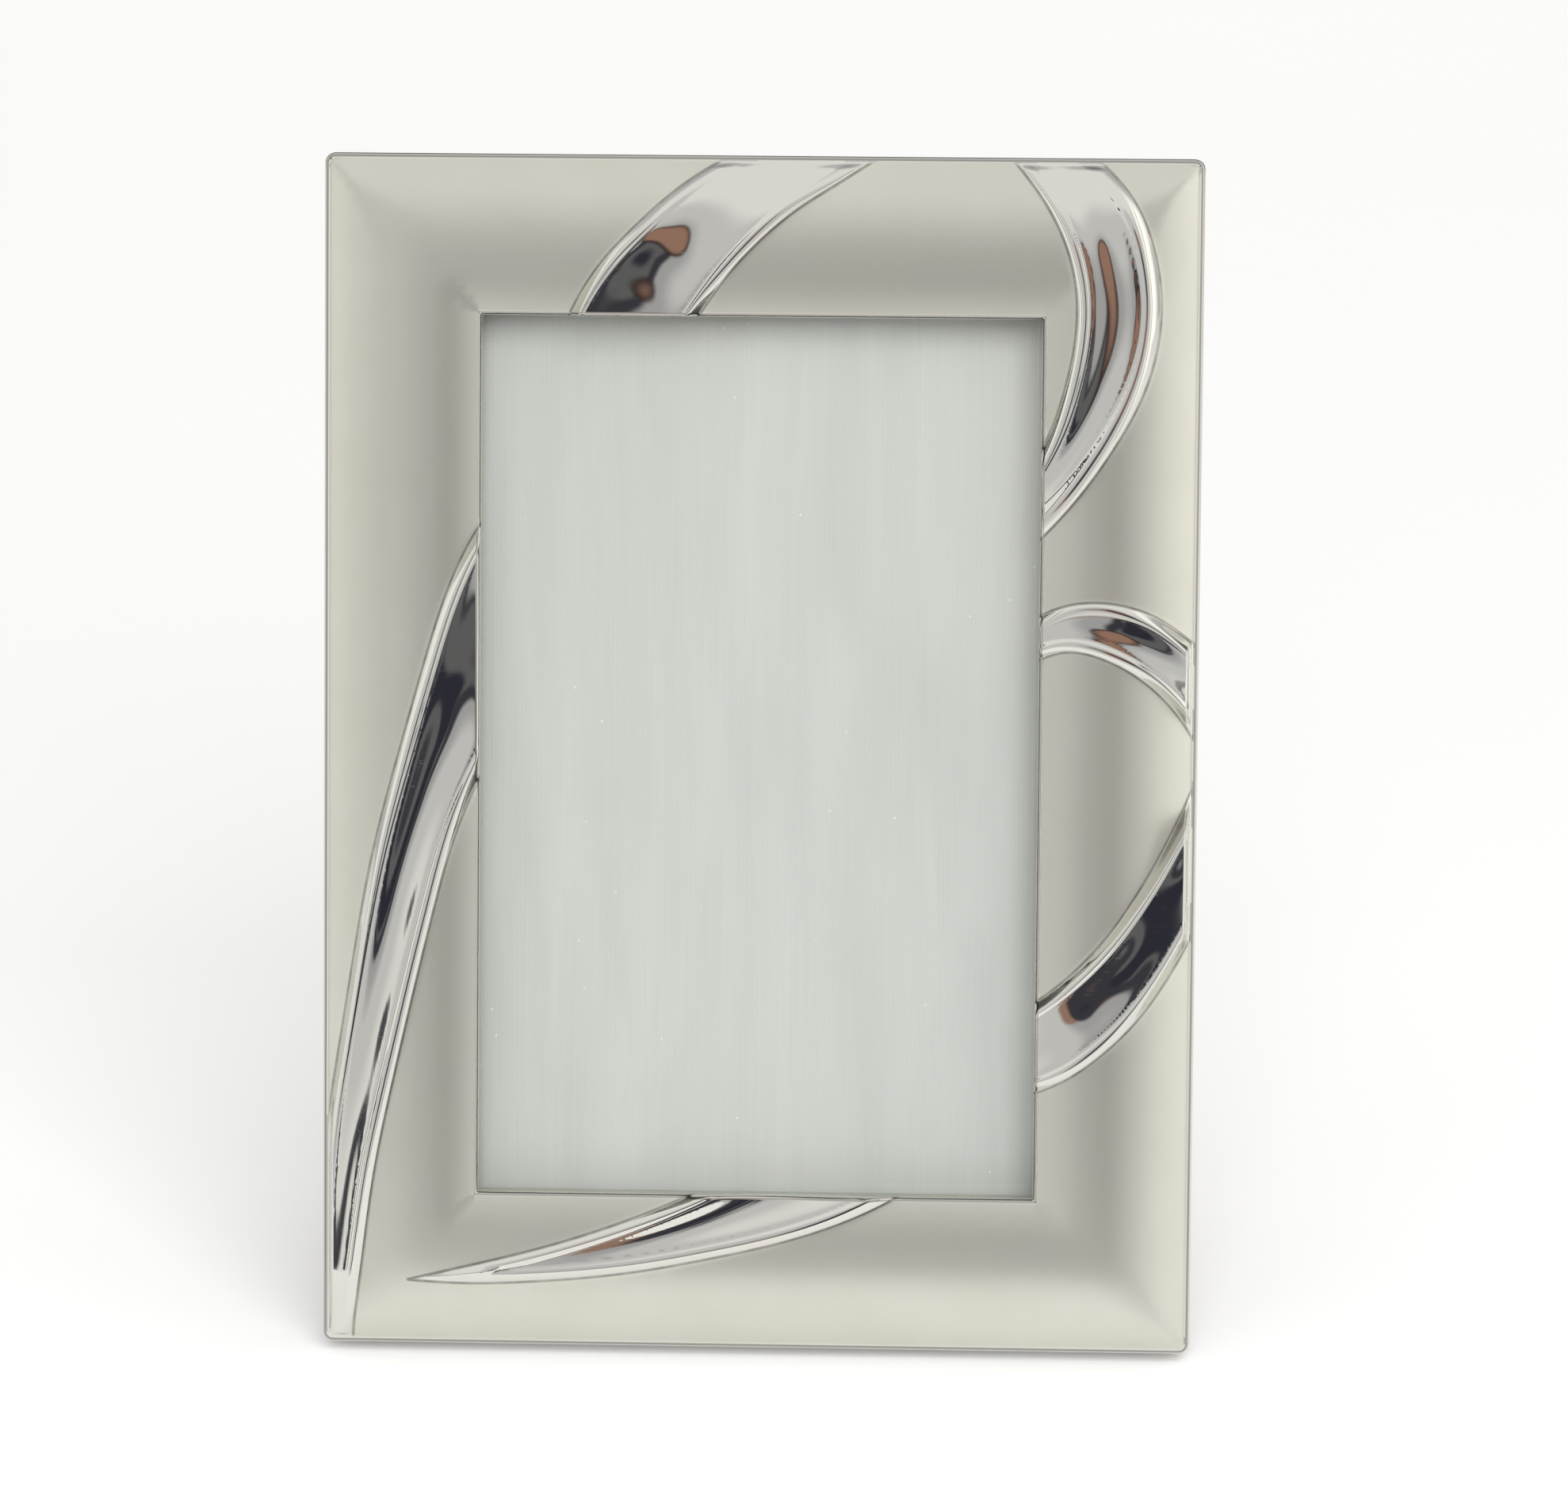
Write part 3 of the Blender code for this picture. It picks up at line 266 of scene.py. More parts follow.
ZINC = (0.56, 0.57, 0.58, 1.0)
ZINC_SPANGLE = (0.66, 0.67, 0.67, 1.0)
SCRATCH_TURNS = (0.35, 1.15, 2.4)
SCRATCH_DEPTH = 0.00001


def metal_marks_group():
    """Broad cloudiness, fine speckle and crossing hairline scratches on a metal, in millimetres."""
    tree, given, result = new_group(
        "metal_marks",
        [("Position", "Vector", None), ("Cloud Size", "Float", 4.0), ("Speckle Size", "Float", 0.3)],
        [("Cloud", "Float"), ("Speckle", "Float"), ("Scratch", "Float")],
    )
    place = given["Position"]
    cloud = noise(tree, place, maths(tree, "DIVIDE", 1.0, given["Cloud Size"]), 4.0, 0.55)
    speckle = noise(tree, place, maths(tree, "DIVIDE", 1.0, given["Speckle Size"]), 2.0, 0.6)
    lines = []
    for turn in SCRATCH_TURNS:
        drawn = mapped(tree, place, (turn, 0.4 * turn, turn), (0.05, 3.2, 3.2))
        lines.append(rising(tree, noise(tree, drawn, 1.0, 1.0, 0.4), 0.70, 0.76))
    crossing = maths(tree, "MAXIMUM", maths(tree, "MAXIMUM", lines[0], lines[1]), lines[2])
    fill(tree, result, {
        "Cloud": remap(tree, cloud, 0.28, 0.72), "Speckle": remap(tree, speckle, 0.25, 0.75),
        "Scratch": crossing,
    })
    return tree


metal_marks = metal_marks_group()


def plain_metal(name, colour, second_colour, roughness):
    material, tree, shader = new_material(name)
    marks = use_group(tree, metal_marks, {"Position": frame_millimetres(tree)})
    worn = scaled(tree, marks["Cloud"], 0.10, roughness)
    speckled = scaled(tree, marks["Speckle"], 0.25)
    raised = scaled(tree, marks["Scratch"], -1.0, speckled)
    fill(tree, shader, {
        "Metallic": 1.0, "Base Color": mix_colour(tree, marks["Cloud"], colour, second_colour),
        "Roughness": scaled(tree, marks["Scratch"], 0.14, worn),
        "Normal": bump(tree, raised, SCRATCH_DEPTH),
    })
    return material


zinc_plate = plain_metal("zinc_plate", ZINC, ZINC_SPANGLE, 0.27)
for corner in ("top_right", "top_left", "bottom_left", "bottom_right"):
    finer_copy(f"corner_nail_{corner}", zinc_plate, "frame", 0.08)


# Silver sheet
# One thin sheet stamped with the domed border and its flowing ribbons, silver plated.
# The ground is satin, the ribbons, rim and window lip are polished, and it is pressed over the rails.

HALF_WIDTH = 72.0
HALF_HEIGHT = 98.5
BORDER = 26.25
SHEET = 0.5
INNER_SINK = 0.85
INNER_SINKS_OVER = 3.0
SKIRT_FOOT = 2.5
WINDOW_FOOT = 8.9
AT_WINDOW = 1.0
RIM_OUT = 8.36
RIM_RADIUS = 1.0
CREST_OUT = 15.0
CREST_DEPTH = 17.0
LIP_DROP = 1.6
LIP_RADIUS = 0.7
DOME_POWER = 2.3
CORNER_RADIUS = 1.8
CORNER_SOFTNESS = 9.0
LEAST_SOFTNESS = 1.2
SOFTNESS_GROWS_OVER = 0.4 * BORDER
SOFTNESS_FADES_FROM = 0.7 * BORDER
SOFTNESS_FADES_OVER = 0.25 * BORDER
GRID_SPACING = 1.5
RIM_STOPS = (0.0, 0.1, 0.3, 0.6, 1.0, 1.4, CORNER_RADIUS)
LIP_STOPS = (1.0, 0.6, 0.3, 0.1, 0.0)
ON_FACE, ON_SKIRT, ON_LINING, ON_LINING_FOOT = range(4)

# Slopes of a bead, and where its inner side is steepest and where it ends,
# in shares of the distance from the toe to the top of the bead
FOOT_FILLET = 0.9
TOE_ROUND = 0.3
TOE_SLOPE = 0.2
BEAD_SLOPE = 0.95
INNER_SLOPE = 0.5
BEAD_SIDE = 1.5
BEAD_END = 2.0
TROUGH_WIDTH = 8.0
TROUGH_POWER = 1.5
FLAT_FROM = 1.6
FLAT_GROWS_OVER = 1.2
FLAT_FROM_ENDS = 14.0
RELIEF_STARTS = 0.9
RELIEF_GROWS_OVER = 1.4
TIP_WIDTH = 5.0
WIDEST_RIBBON = 20.0
NEAR_BEAD = 3.2
INSET_SHOWN = 4.0

# Passes that divide the cells near a toe: cells longer than this, and with a greater change of inset
# than this, from so far outside the toe to so far inside it, by so many cuts
CELL_PASSES = (
    (0.8, -1.0, 1.4, WIDEST_RIBBON, 2),
    (0.1, 0.26, 0.25, 2.75, 1),
    (0.1, 0.19, 0.25, 2.75, 1),
    (0.05, 0.10, 0.20, 0.45, 1),
)

# The relief's own normals are used between these depths from the outer edge
NORMALS_FROM = 0.25
NORMALS_TO = BORDER - 0.12
NORMAL_STEP = 0.02

# Two toe lines for each ribbon, each with the distance from the toe to the top of its bead.
# Then the trough along the first toe: how far along, how deep, and how far it tilts to that side.
# Last, how much of the dome's fall to the rim and to the window is taken out under the ribbon.
RIBBONS = {
    "left_sweep": (
        [(-40, 46), (-45.9, 37.9), (-50.4, 28.9), (-54.8, 15.4), (-58.9, 0.7), (-63.2, -15.7),
         (-66.8, -35), (-69.3, -50), (-71, -61), (-72.1, -74), (-72.8, -88), (-73.2, -102)], 1.25,
        [(-38, 48), (-39.5, 36), (-40.8, 22), (-41.6, 11), (-43.3, 2), (-46.1, -4.3), (-49.6, -12.9),
         (-53, -25), (-56.6, -40), (-60, -55), (-63, -70), (-65.2, -86), (-66.6, -96),
         (-67.3, -102)], 1.3,
        [(0, 0.2, 0.3), (18, 0.15, 0.5), (32, 0.2, 0.5), (48, 0.6, 0.2), (70, 0.7, 0.2), (90, 0.5, 0.6),
         (110, 0.3, 0.8), (150, 0.2, 0.9)],
        (0.35, 0.65)),
    "upper_left_band": (
        [(-34.4, 66), (-31.3, 72.7), (-26.9, 80), (-20.3, 87.3), (-12.5, 94.1), (-5.5, 98.5),
         (3, 103)], 1.25,
        [(-14.6, 66), (-9.7, 73.3), (-5, 79.7), (0.2, 85.2), (6, 90), (12, 93.9), (18.3, 98),
         (26, 102.5)], 1.3,
        [(0, 0.1, 0.8), (12, 0.2, 0.8), (24, 0.4, 0.5), (34, 0.4, 0), (45, 0.4, 0)],
        (0.4, 0.85)),
    "upper_right_arc": (
        [(36.5, 103), (40.6, 98.2), (45.9, 91.2), (49.4, 84.2), (51.1, 77), (51.1, 69.5), (49.6, 61.5),
         (47, 53.6), (42.5, 45)], 1.25,
        [(49, 103), (54.6, 98.2), (60.2, 91.9), (63.6, 84), (65, 75), (64.3, 67), (61.9, 59.4),
         (57.8, 51.8), (51.9, 43.4), (45.7, 36.4), (39, 30)], 1.9,
        [(0, 0.3, 0), (14, 0.4, 0), (26, 0.45, 0), (40, 0.45, 0), (52, 0.5, 0), (64, 0.4, 0)],
        (0.2, 0.3)),
    "middle_right_arch": (
        [(40, 20), (45.8, 23.9), (50, 25.7), (55, 26.3), (60, 25.7), (65, 23.8), (70, 20.3), (75, 16)], 1.2,
        [(41, 12.5), (45.8, 16.7), (50.5, 18.2), (55, 17.5), (60, 15.3), (64.8, 11.8), (68.7, 7.5),
         (72.5, 1.5)], 1.3,
        [(0, 0.2, -0.3), (12, 0.2, -0.4), (24, 0.3, -0.2), (40, 0.3, 0)],
        (0.6, 0.5)),
    "lower_right_sweep": (
        [(41, -42.5), (46, -39.4), (51.8, -34.6), (57, -29), (62.2, -21.6), (67.1, -13), (70.6, -5.7),
         (73.5, 1.5)], 1.25,
        [(40.5, -56.6), (45.9, -54.6), (51.4, -51.9), (56.5, -48.2), (61.5, -43.5), (66.2, -37.5),
         (70.2, -31), (74, -23.8)], 1.4,
        [(0, 0.5, 0.2), (10, 0.3, 0.8), (20, 0.2, 1.1), (30, 0, 0.8), (40, -0.2, 0.6), (56, -0.2, 0.6)],
        (0.95, 0.5)),
    "bottom_leaf": (
        [(-57.4, -86.95), (-50, -85.1), (-40, -82.6), (-30, -79.7), (-20.3, -76.3), (-11.1, -72.5),
         (-3, -68.6), (6, -64.3), (16, -59), (26, -53)], 1.1,
        [(-57.4, -86.95), (-48, -87.4), (-38, -87.05), (-28, -86.2), (-18, -84.8), (-8, -82.8), (3, -80.2),
         (13, -77), (22, -73), (29, -69)], 1.45,
        [(0, 0.4, 0), (30, 0.6, 0), (60, 0.9, 0)],
        (0.3, 0.5)),
}


def ease(x):
    x = np.clip(x, 0.0, 1.0)
    return x * x * x * (x * (6.0 * x - 15.0) + 10.0)


class ToeLine:
    """A natural cubic spline through points on the face, where a ribbon meets the ground."""

    def __init__(self, points):
        self.knots = np.array(points, float)
        self.spans = np.linalg.norm(np.diff(self.knots, axis=0), axis=1)
        self.starts = np.concatenate([[0.0], np.cumsum(self.spans)])
        count = len(self.knots)
        system, target = np.eye(count), np.zeros((count, 2))
        for i in range(1, count - 1):
            before, after = self.spans[i - 1], self.spans[i]
            system[i, i - 1:i + 2] = (before, 2.0 * (before + after), after)
            rise, run = self.knots[i + 1] - self.knots[i], self.knots[i] - self.knots[i - 1]
            target[i] = 6.0 * (rise / after - run / before)
        self.bends = np.linalg.solve(system, target)
        self.samples = np.linspace(0.0, self.starts[-1], int(self.starts[-1]) + 2)
        self.sampled = self.at(self.samples)[0]

    def at(self, along):
        """Place, direction and bend of the line at distances along it."""
        k = np.clip(np.searchsorted(self.starts, along, side="right") - 1, 0, len(self.spans) - 1)
        span = self.spans[k][:, None]
        back = (along - self.starts[k])[:, None] / span
        ahead = 1.0 - back
        here, there = self.knots[k], self.knots[k + 1]
        bend, next_bend = self.bends[k], self.bends[k + 1]
        place = ahead * here + back * there
        place = place + ((ahead**3 - ahead) * bend + (back**3 - back) * next_bend) * span**2 / 6.0
        heading = (there - here) / span
        heading = heading + ((1.0 - 3.0 * ahead**2) * bend + (3.0 * back**2 - 1.0) * next_bend) * span / 6.0
        return place, heading, ahead * bend + back * next_bend

    def measure(self, points):
        """Signed distance of each point, positive on the left, and how far along the line it lies."""
        gaps = ((points[:, None, :] - self.sampled[None, :, :]) ** 2).sum(-1)
        along = self.samples[np.argmin(gaps, axis=1)]
        for _ in range(3):
            place, heading, bend = self.at(along)
            off = points - place
            slope = (off * heading).sum(1)
            curve = (heading**2).sum(1) - (off * bend).sum(1)
            along = np.clip(along + slope / np.maximum(curve, 0.2), 0.0, self.starts[-1])
        place, heading, _ = self.at(along)
        off = points - place
        side = np.sign(heading[:, 0] * off[:, 1] - heading[:, 1] * off[:, 0])
        return np.hypot(off[:, 0], off[:, 1]) * side, along


def bead_section(inset, bead):
    """Section of a ribbon's side: up from the fillet at its toe, over the bead, down to the trough."""
    stops = (-FOOT_FILLET, 0.0, TOE_ROUND, bead, BEAD_SIDE * bead, BEAD_END * bead)
    slopes = (0.0, TOE_SLOPE, BEAD_SLOPE, 0.0, -INNER_SLOPE, 0.0)
    height = np.zeros_like(inset)
    for near, far, start, end in zip(stops, stops[1:], slopes, slopes[1:]):
        along = np.clip(inset - near, 0.0, far - near)
        height += start * along + (end - start) * along**2 / (2.0 * (far - near))
    return height


class Ribbon:
    """One raised ribbon: a bead inside each toe line and a trough between the beads."""

    def __init__(self, first_toe, first_bead, second_toe, second_bead, trough, flattening):
        self.toes = (ToeLine(first_toe), ToeLine(second_toe))
        self.beads = (first_bead, second_bead)
        self.trough = trough
        self.flattening = flattening
        ends = np.concatenate([toe.sampled for toe in self.toes])
        self.low, self.high = ends.min(0) - NEAR_BEAD, ends.max(0) + NEAR_BEAD
        middle = self.toes[1].sampled[len(self.toes[1].sampled) // 2][None, :]
        self.facing = 1.0 if self.toes[0].measure(middle)[0][0] > 0 else -1.0

    def insets(self, points):
        """Distances in from both toes, negative outside the ribbon and past its ends, and the way along."""
        near = ((points > self.low) & (points < self.high)).all(1)
        first = np.full(len(points), -WIDEST_RIBBON)
        second, along = first.copy(), np.zeros(len(points))
        if near.any():
            aside, along[near] = self.toes[0].measure(points[near])
            first[near] = aside * self.facing
            second[near] = self.toes[1].measure(points[near])[0] * -self.facing
        past = np.maximum(first, second) > WIDEST_RIBBON
        first[past] = second[past] = -WIDEST_RIBBON
        return first, second, along

    def trough_at(self, along):
        """Depth and tilt of the trough, eased from station to station."""
        depth, tilt = self.trough[0][1:]
        for before, after in zip(self.trough, self.trough[1:]):
            share = ease((along - before[0]) / (after[0] - before[0]))
            depth = depth + (after[1] - before[1]) * share
            tilt = tilt + (after[2] - before[2]) * share
        return depth, tilt

    def height(self, first, second, along, outer, to_crest):
        width = np.clip(first + second, 1e-6, None)
        share = np.clip(first / width, 0.0, 1.0)
        ends = [float(bead_section(np.array(BEAD_END * bead), bead)) for bead in self.beads]
        sides = bead_section(first, self.beads[0]) * bead_section(second, self.beads[1])
        rise = sides / (ends[1] * (1.0 - share) + ends[0] * share)
        room = np.clip(width - BEAD_END * sum(self.beads), 1e-6, None)
        across = np.clip((first - BEAD_END * self.beads[0]) / room, 0.0, 1.0)
        fall, tilt = self.trough_at(along)
        rise = rise - fall * ease(room / TROUGH_WIDTH) * (4.0 * across * (1.0 - across)) ** TROUGH_POWER
        between = ease(first / (FLAT_FROM * self.beads[0])) * ease(second / (FLAT_FROM * self.beads[1]))
        rise = (rise + tilt * (1.0 - share) * between) * ease(width / TIP_WIDTH)
        return rise + np.where(outer, *self.flattening) * between * to_crest


ribbons = [Ribbon(*lines) for lines in RIBBONS.values()]


def depth_in(points):
    """Distance in from the outer edge, round the corners, and softened over the mitres between."""
    from_side = HALF_WIDTH - np.abs(points[:, 0])
    from_end = HALF_HEIGHT - np.abs(points[:, 1])
    nearer = np.minimum(from_side, from_end)
    grown = ease((nearer - CORNER_RADIUS) / SOFTNESS_GROWS_OVER)
    reach = LEAST_SOFTNESS + (CORNER_SOFTNESS - LEAST_SOFTNESS) * grown
    reach = reach * (1.0 - ease((nearer - SOFTNESS_FADES_FROM) / SOFTNESS_FADES_OVER)) + 1e-6
    overlap = np.clip(reach - np.abs(from_side - from_end), 0.0, None) / reach
    eased = nearer - overlap**3 * reach / 6.0
    past_side = np.clip(CORNER_RADIUS - from_side, 0.0, None)
    past_end = np.clip(CORNER_RADIUS - from_end, 0.0, None)
    rounded = CORNER_RADIUS - np.hypot(past_side, past_end)
    at_corner = (past_side > 0) & (past_end > 0)
    return np.where(at_corner, np.minimum(eased, rounded), eased)


def plain_height(depth):
    """Section of the dome over its crest, before its rim and its lip are rounded."""
    shoulder = RIM_OUT + RIM_RADIUS
    rise = (CREST_DEPTH - depth) / (CREST_DEPTH - RIM_RADIUS)
    outer = CREST_OUT - (CREST_OUT - shoulder) * np.clip(rise, 0.0, 1.0) ** DOME_POWER
    fall = (depth - CREST_DEPTH) / (BORDER - CREST_DEPTH)
    inner = CREST_OUT - LIP_DROP * np.clip(fall, 0.0, 1.0) ** DOME_POWER
    return np.where(depth < CREST_DEPTH, outer, inner)


def dome_height(depth):
    """Plain section of the sheet, from its rim over the crest to the lip of the window."""
    rim = np.clip(1.0 - depth / RIM_RADIUS, 0.0, 1.0)
    lip = np.clip(1.0 - (BORDER - depth) / LIP_RADIUS, 0.0, 1.0)
    height = plain_height(depth) - RIM_RADIUS * (1.0 - np.sqrt(1.0 - rim**2))
    return height - LIP_RADIUS * (1.0 - np.sqrt(1.0 - lip**2))


def relief(points):
    """Height of the sheet over its back, and how far inside a ribbon each point lies."""
    depth = depth_in(points)
    from_end = HALF_HEIGHT - np.abs(points[:, 1])
    to_crest = (CREST_OUT - plain_height(depth)) * ease((depth - RELIEF_STARTS) / FLAT_GROWS_OVER)
    to_crest = to_crest * ease((from_end - RELIEF_STARTS) / FLAT_FROM_ENDS)
    raised = np.zeros(len(points))
    inside = np.full(len(points), -WIDEST_RIBBON)
    for ribbon in ribbons:
        first, second, along = ribbon.insets(points)
        nearer = np.minimum(first, second)
        on = nearer > -FOOT_FILLET
        outer = depth[on] < CREST_DEPTH
        raised[on] = ribbon.height(first[on], second[on], along[on], outer, to_crest[on])
        inside = np.maximum(inside, nearer)
    return dome_height(depth) + raised * ease((depth - RELIEF_STARTS) / RELIEF_GROWS_OVER), inside


def grid_stops(half):
    """Where the sheet's grid lines cross one axis, close together at the rim and the lip."""
    rim = list(RIM_STOPS)
    lip = [BORDER - share * LIP_RADIUS for share in LIP_STOPS]
    steps = round((lip[0] - rim[-1]) / GRID_SPACING)
    border = rim + list(np.linspace(rim[-1], lip[0], steps + 1)[1:-1]) + lip
    window = half - BORDER
    across = list(np.linspace(-window, window, round(2.0 * window / GRID_SPACING) + 1)[1:-1])
    return [-half + depth for depth in border] + across + [half - depth for depth in reversed(border)]


def coordinates(verts):
    return np.array([vert.co[:] for vert in verts])


def of_kind(geometry, kind):
    return [item for item in geometry if isinstance(item, kind)]


def in_window(place, margin=0.0):
    """Whether a place lies in the window, widened by a margin."""
    window = HALF_WIDTH - BORDER + margin, HALF_HEIGHT - BORDER + margin
    return abs(place.x) < window[0] and abs(place.y) < window[1]


def flat_border():
    """The sheet's outline as a grid in the flat, its window open and its corners rounded."""
    stops_u, stops_v = grid_stops(HALF_WIDTH), grid_stops(HALF_HEIGHT)
    bm = bmesh.new()
    columns, rows = len(stops_u) - 1, len(stops_v) - 1
    bmesh.ops.create_grid(bm, x_segments=columns, y_segments=rows, size=0.5)
    for vert in bm.verts:
        vert.co.x = stops_u[round((vert.co.x + 0.5) * columns)]
        vert.co.y = stops_v[round((vert.co.y + 0.5) * rows)]
    window = [face for face in bm.faces if in_window(face.calc_center_median())]
    bmesh.ops.delete(bm, geom=window, context="FACES")
    return bm


def round_corners(verts):
    """Draws the square corners of the grid in to arcs about one centre."""
    for vert in verts:
        a = abs(vert.co.x) - (HALF_WIDTH - CORNER_RADIUS)
        b = abs(vert.co.y) - (HALF_HEIGHT - CORNER_RADIUS)
        if a > 1e-4 and b > 1e-4:
            pull = max(a, b) / math.hypot(a, b)
            vert.co.x = math.copysign(HALF_WIDTH - CORNER_RADIUS + a * pull, vert.co.x)
            vert.co.y = math.copysign(HALF_HEIGHT - CORNER_RADIUS + b * pull, vert.co.y)


def draw_inside(value, half):
    """A coordinate of the sheet's inner wall, a sheet's thickness in from both of its skirts."""
    window = half - BORDER
    size = abs(value)
    if size > window:
        return math.copysign(half - SHEET - (half - size) * (BORDER - 2.0 * SHEET) / BORDER, value)
    return value * (window + SHEET) / window


def skirt(bm, edges, level, mark):
    """Grows a skirt from edges of the sheet down to its foot, and gives the edges of its foot."""
    grown = bmesh.ops.extrude_edge_only(bm, edges=edges)["geom"]
    for vert in of_kind(grown, bmesh.types.BMVert):
        vert.co.z = WINDOW_FOOT if in_window(vert.co, AT_WINDOW) else SKIRT_FOOT
        vert[level] = mark
    edges = of_kind(grown, bmesh.types.BMEdge)
    return [edge for edge in edges if all(vert[level] == mark for vert in edge.verts)]


def subdivide_near(bm, level, longest, steepest, outside, inside, cuts):
    """Divides the face's edges near the ribbons' toes, where one is long and crosses the ribbon enough."""
    edges = [e for e in bm.edges if e.calc_length() > longest and all(v[level] == ON_FACE for v in e.verts)]
    ends = [np.array([e.verts[end].co[:2] for e in edges]) for end in (0, 1)]
    chosen = np.zeros(len(edges), bool)
    for ribbon in ribbons:
        insets = [np.minimum(*ribbon.insets(points)[:2]) for points in ends]
        middle = (insets[0] + insets[1]) / 2.0
        crossed = np.abs(insets[0] - insets[1]) > steepest
        chosen |= crossed & (middle > -outside) & (middle < inside)
    picked = [edge for edge, keep in zip(edges, chosen) if keep]
    bmesh.ops.subdivide_edges(bm, edges=picked, cuts=cuts, use_grid_fill=True)


def silver_sheet_mesh():
    bm = flat_border()
    level = bm.verts.layers.int.new("level")
    inset_layer = bm.verts.layers.float.new("ribbon_inset")
    depth_layer = bm.verts.layers.float.new("edge_distance")
    border_edges = [edge for edge in bm.edges if edge.is_boundary]
    copied = bmesh.ops.duplicate(bm, geom=bm.faces[:])["geom"]
    inner_verts = of_kind(copied, bmesh.types.BMVert)
    inner_edges = [edge for edge in of_kind(copied, bmesh.types.BMEdge) if edge.is_boundary]
    depth = depth_in(coordinates(inner_verts)[:, :2])
    sunk = INNER_SINK * ease(depth / INNER_SINKS_OVER) * ease((BORDER - depth) / INNER_SINKS_OVER)
    lining = dome_height(depth) - SHEET - sunk
    for vert, height in zip(inner_verts, lining):
        vert.co = (draw_inside(vert.co.x, HALF_WIDTH), draw_inside(vert.co.y, HALF_HEIGHT), height)
        vert[level] = ON_LINING
    bmesh.ops.reverse_faces(bm, faces=of_kind(copied, bmesh.types.BMFace))
    feet = skirt(bm, border_edges, level, ON_SKIRT) + skirt(bm, inner_edges, level, ON_LINING_FOOT)
    for inner in (True, False):
        both = [edge for edge in feet if in_window(edge.verts[0].co, AT_WINDOW) == inner]
        bmesh.ops.bridge_loops(bm, edges=both)
    for cell_pass in CELL_PASSES:
        subdivide_near(bm, level, *cell_pass)
    round_corners([vert for vert in bm.verts if vert[level] in (ON_FACE, ON_SKIRT)])
    face_verts = [vert for vert in bm.verts if vert[level] == ON_FACE]
    spots = coordinates(face_verts)[:, :2]
    heights, inside = relief(spots)
    for vert, height in zip(face_verts, heights):
        vert.co.z = height
    bmesh.ops.recalc_face_normals(bm, faces=bm.faces)
    if bm.calc_volume(signed=True) < 0:
        bmesh.ops.reverse_faces(bm, faces=bm.faces)
    for vert in bm.verts:
        vert[inset_layer] = -INSET_SHOWN
    insets = np.clip(inside, -INSET_SHOWN, INSET_SHOWN)
    for vert, inset, depth in zip(face_verts, insets, depth_in(spots)):
        vert[inset_layer] = inset
        vert[depth_layer] = depth
    return bm


def face_normals(mesh, levels):
    """The relief's own normals for the points of the face, in the scene's directions."""
    points = coordinates(mesh.vertices)[:, :2]
    depth = depth_in(points)
    chosen = (levels == ON_FACE) & (depth > NORMALS_FROM) & (depth < NORMALS_TO)
    spots = points[chosen]
    slopes = []
    for shift in ((NORMAL_STEP, 0.0), (0.0, NORMAL_STEP)):
        rise = relief(spots + shift)[0] - relief(spots - shift)[0]
        slopes.append(rise / (2.0 * NORMAL_STEP))
    normals = np.zeros((len(points), 3))
    normals[chosen] = np.stack([-slopes[0], -slopes[1], np.ones(len(spots))], axis=1)
    normals[chosen] /= np.linalg.norm(normals[chosen], axis=1)[:, None]
    return normals


SATIN_SILVER = (0.765, 0.762, 0.690, 1.0)
SATIN_SHADOW = (0.740, 0.735, 0.655, 1.0)
POLISHED_SILVER = (0.80, 0.79, 0.745, 1.0)
# Colour of the painted dark lines: painted crease shade along the ribbons' toes and painted dark
# reflections along the rim and the lip
PAINTED_LINE_SHADE = (0.16, 0.14, 0.12, 1.0)
POLISHED_RIM = 0.9
POLISHED_LIP = BORDER - 0.75
POLISH_SOFTNESS = 0.06
# Depths from the outer edge of the painted dark reflection lines on the rim and the lip
PAINTED_RIM_LINE_DEPTH = 0.5
PAINTED_LIP_LINE_DEPTH = BORDER - 0.45
SATIN_GRAIN = 0.000006


def thin_line(tree, distance, middle, half_width):
    """Mask of a soft line where a distance is near its middle value."""
    away = maths(tree, "ABSOLUTE", maths(tree, "SUBTRACT", distance, middle))
    return falling(tree, away, 0.25 * half_width, half_width)


def beyond(tree, distance, edge):
    """Mask of where a distance is past an edge."""
    return rising(tree, distance, edge - POLISH_SOFTNESS, edge + POLISH_SOFTNESS)


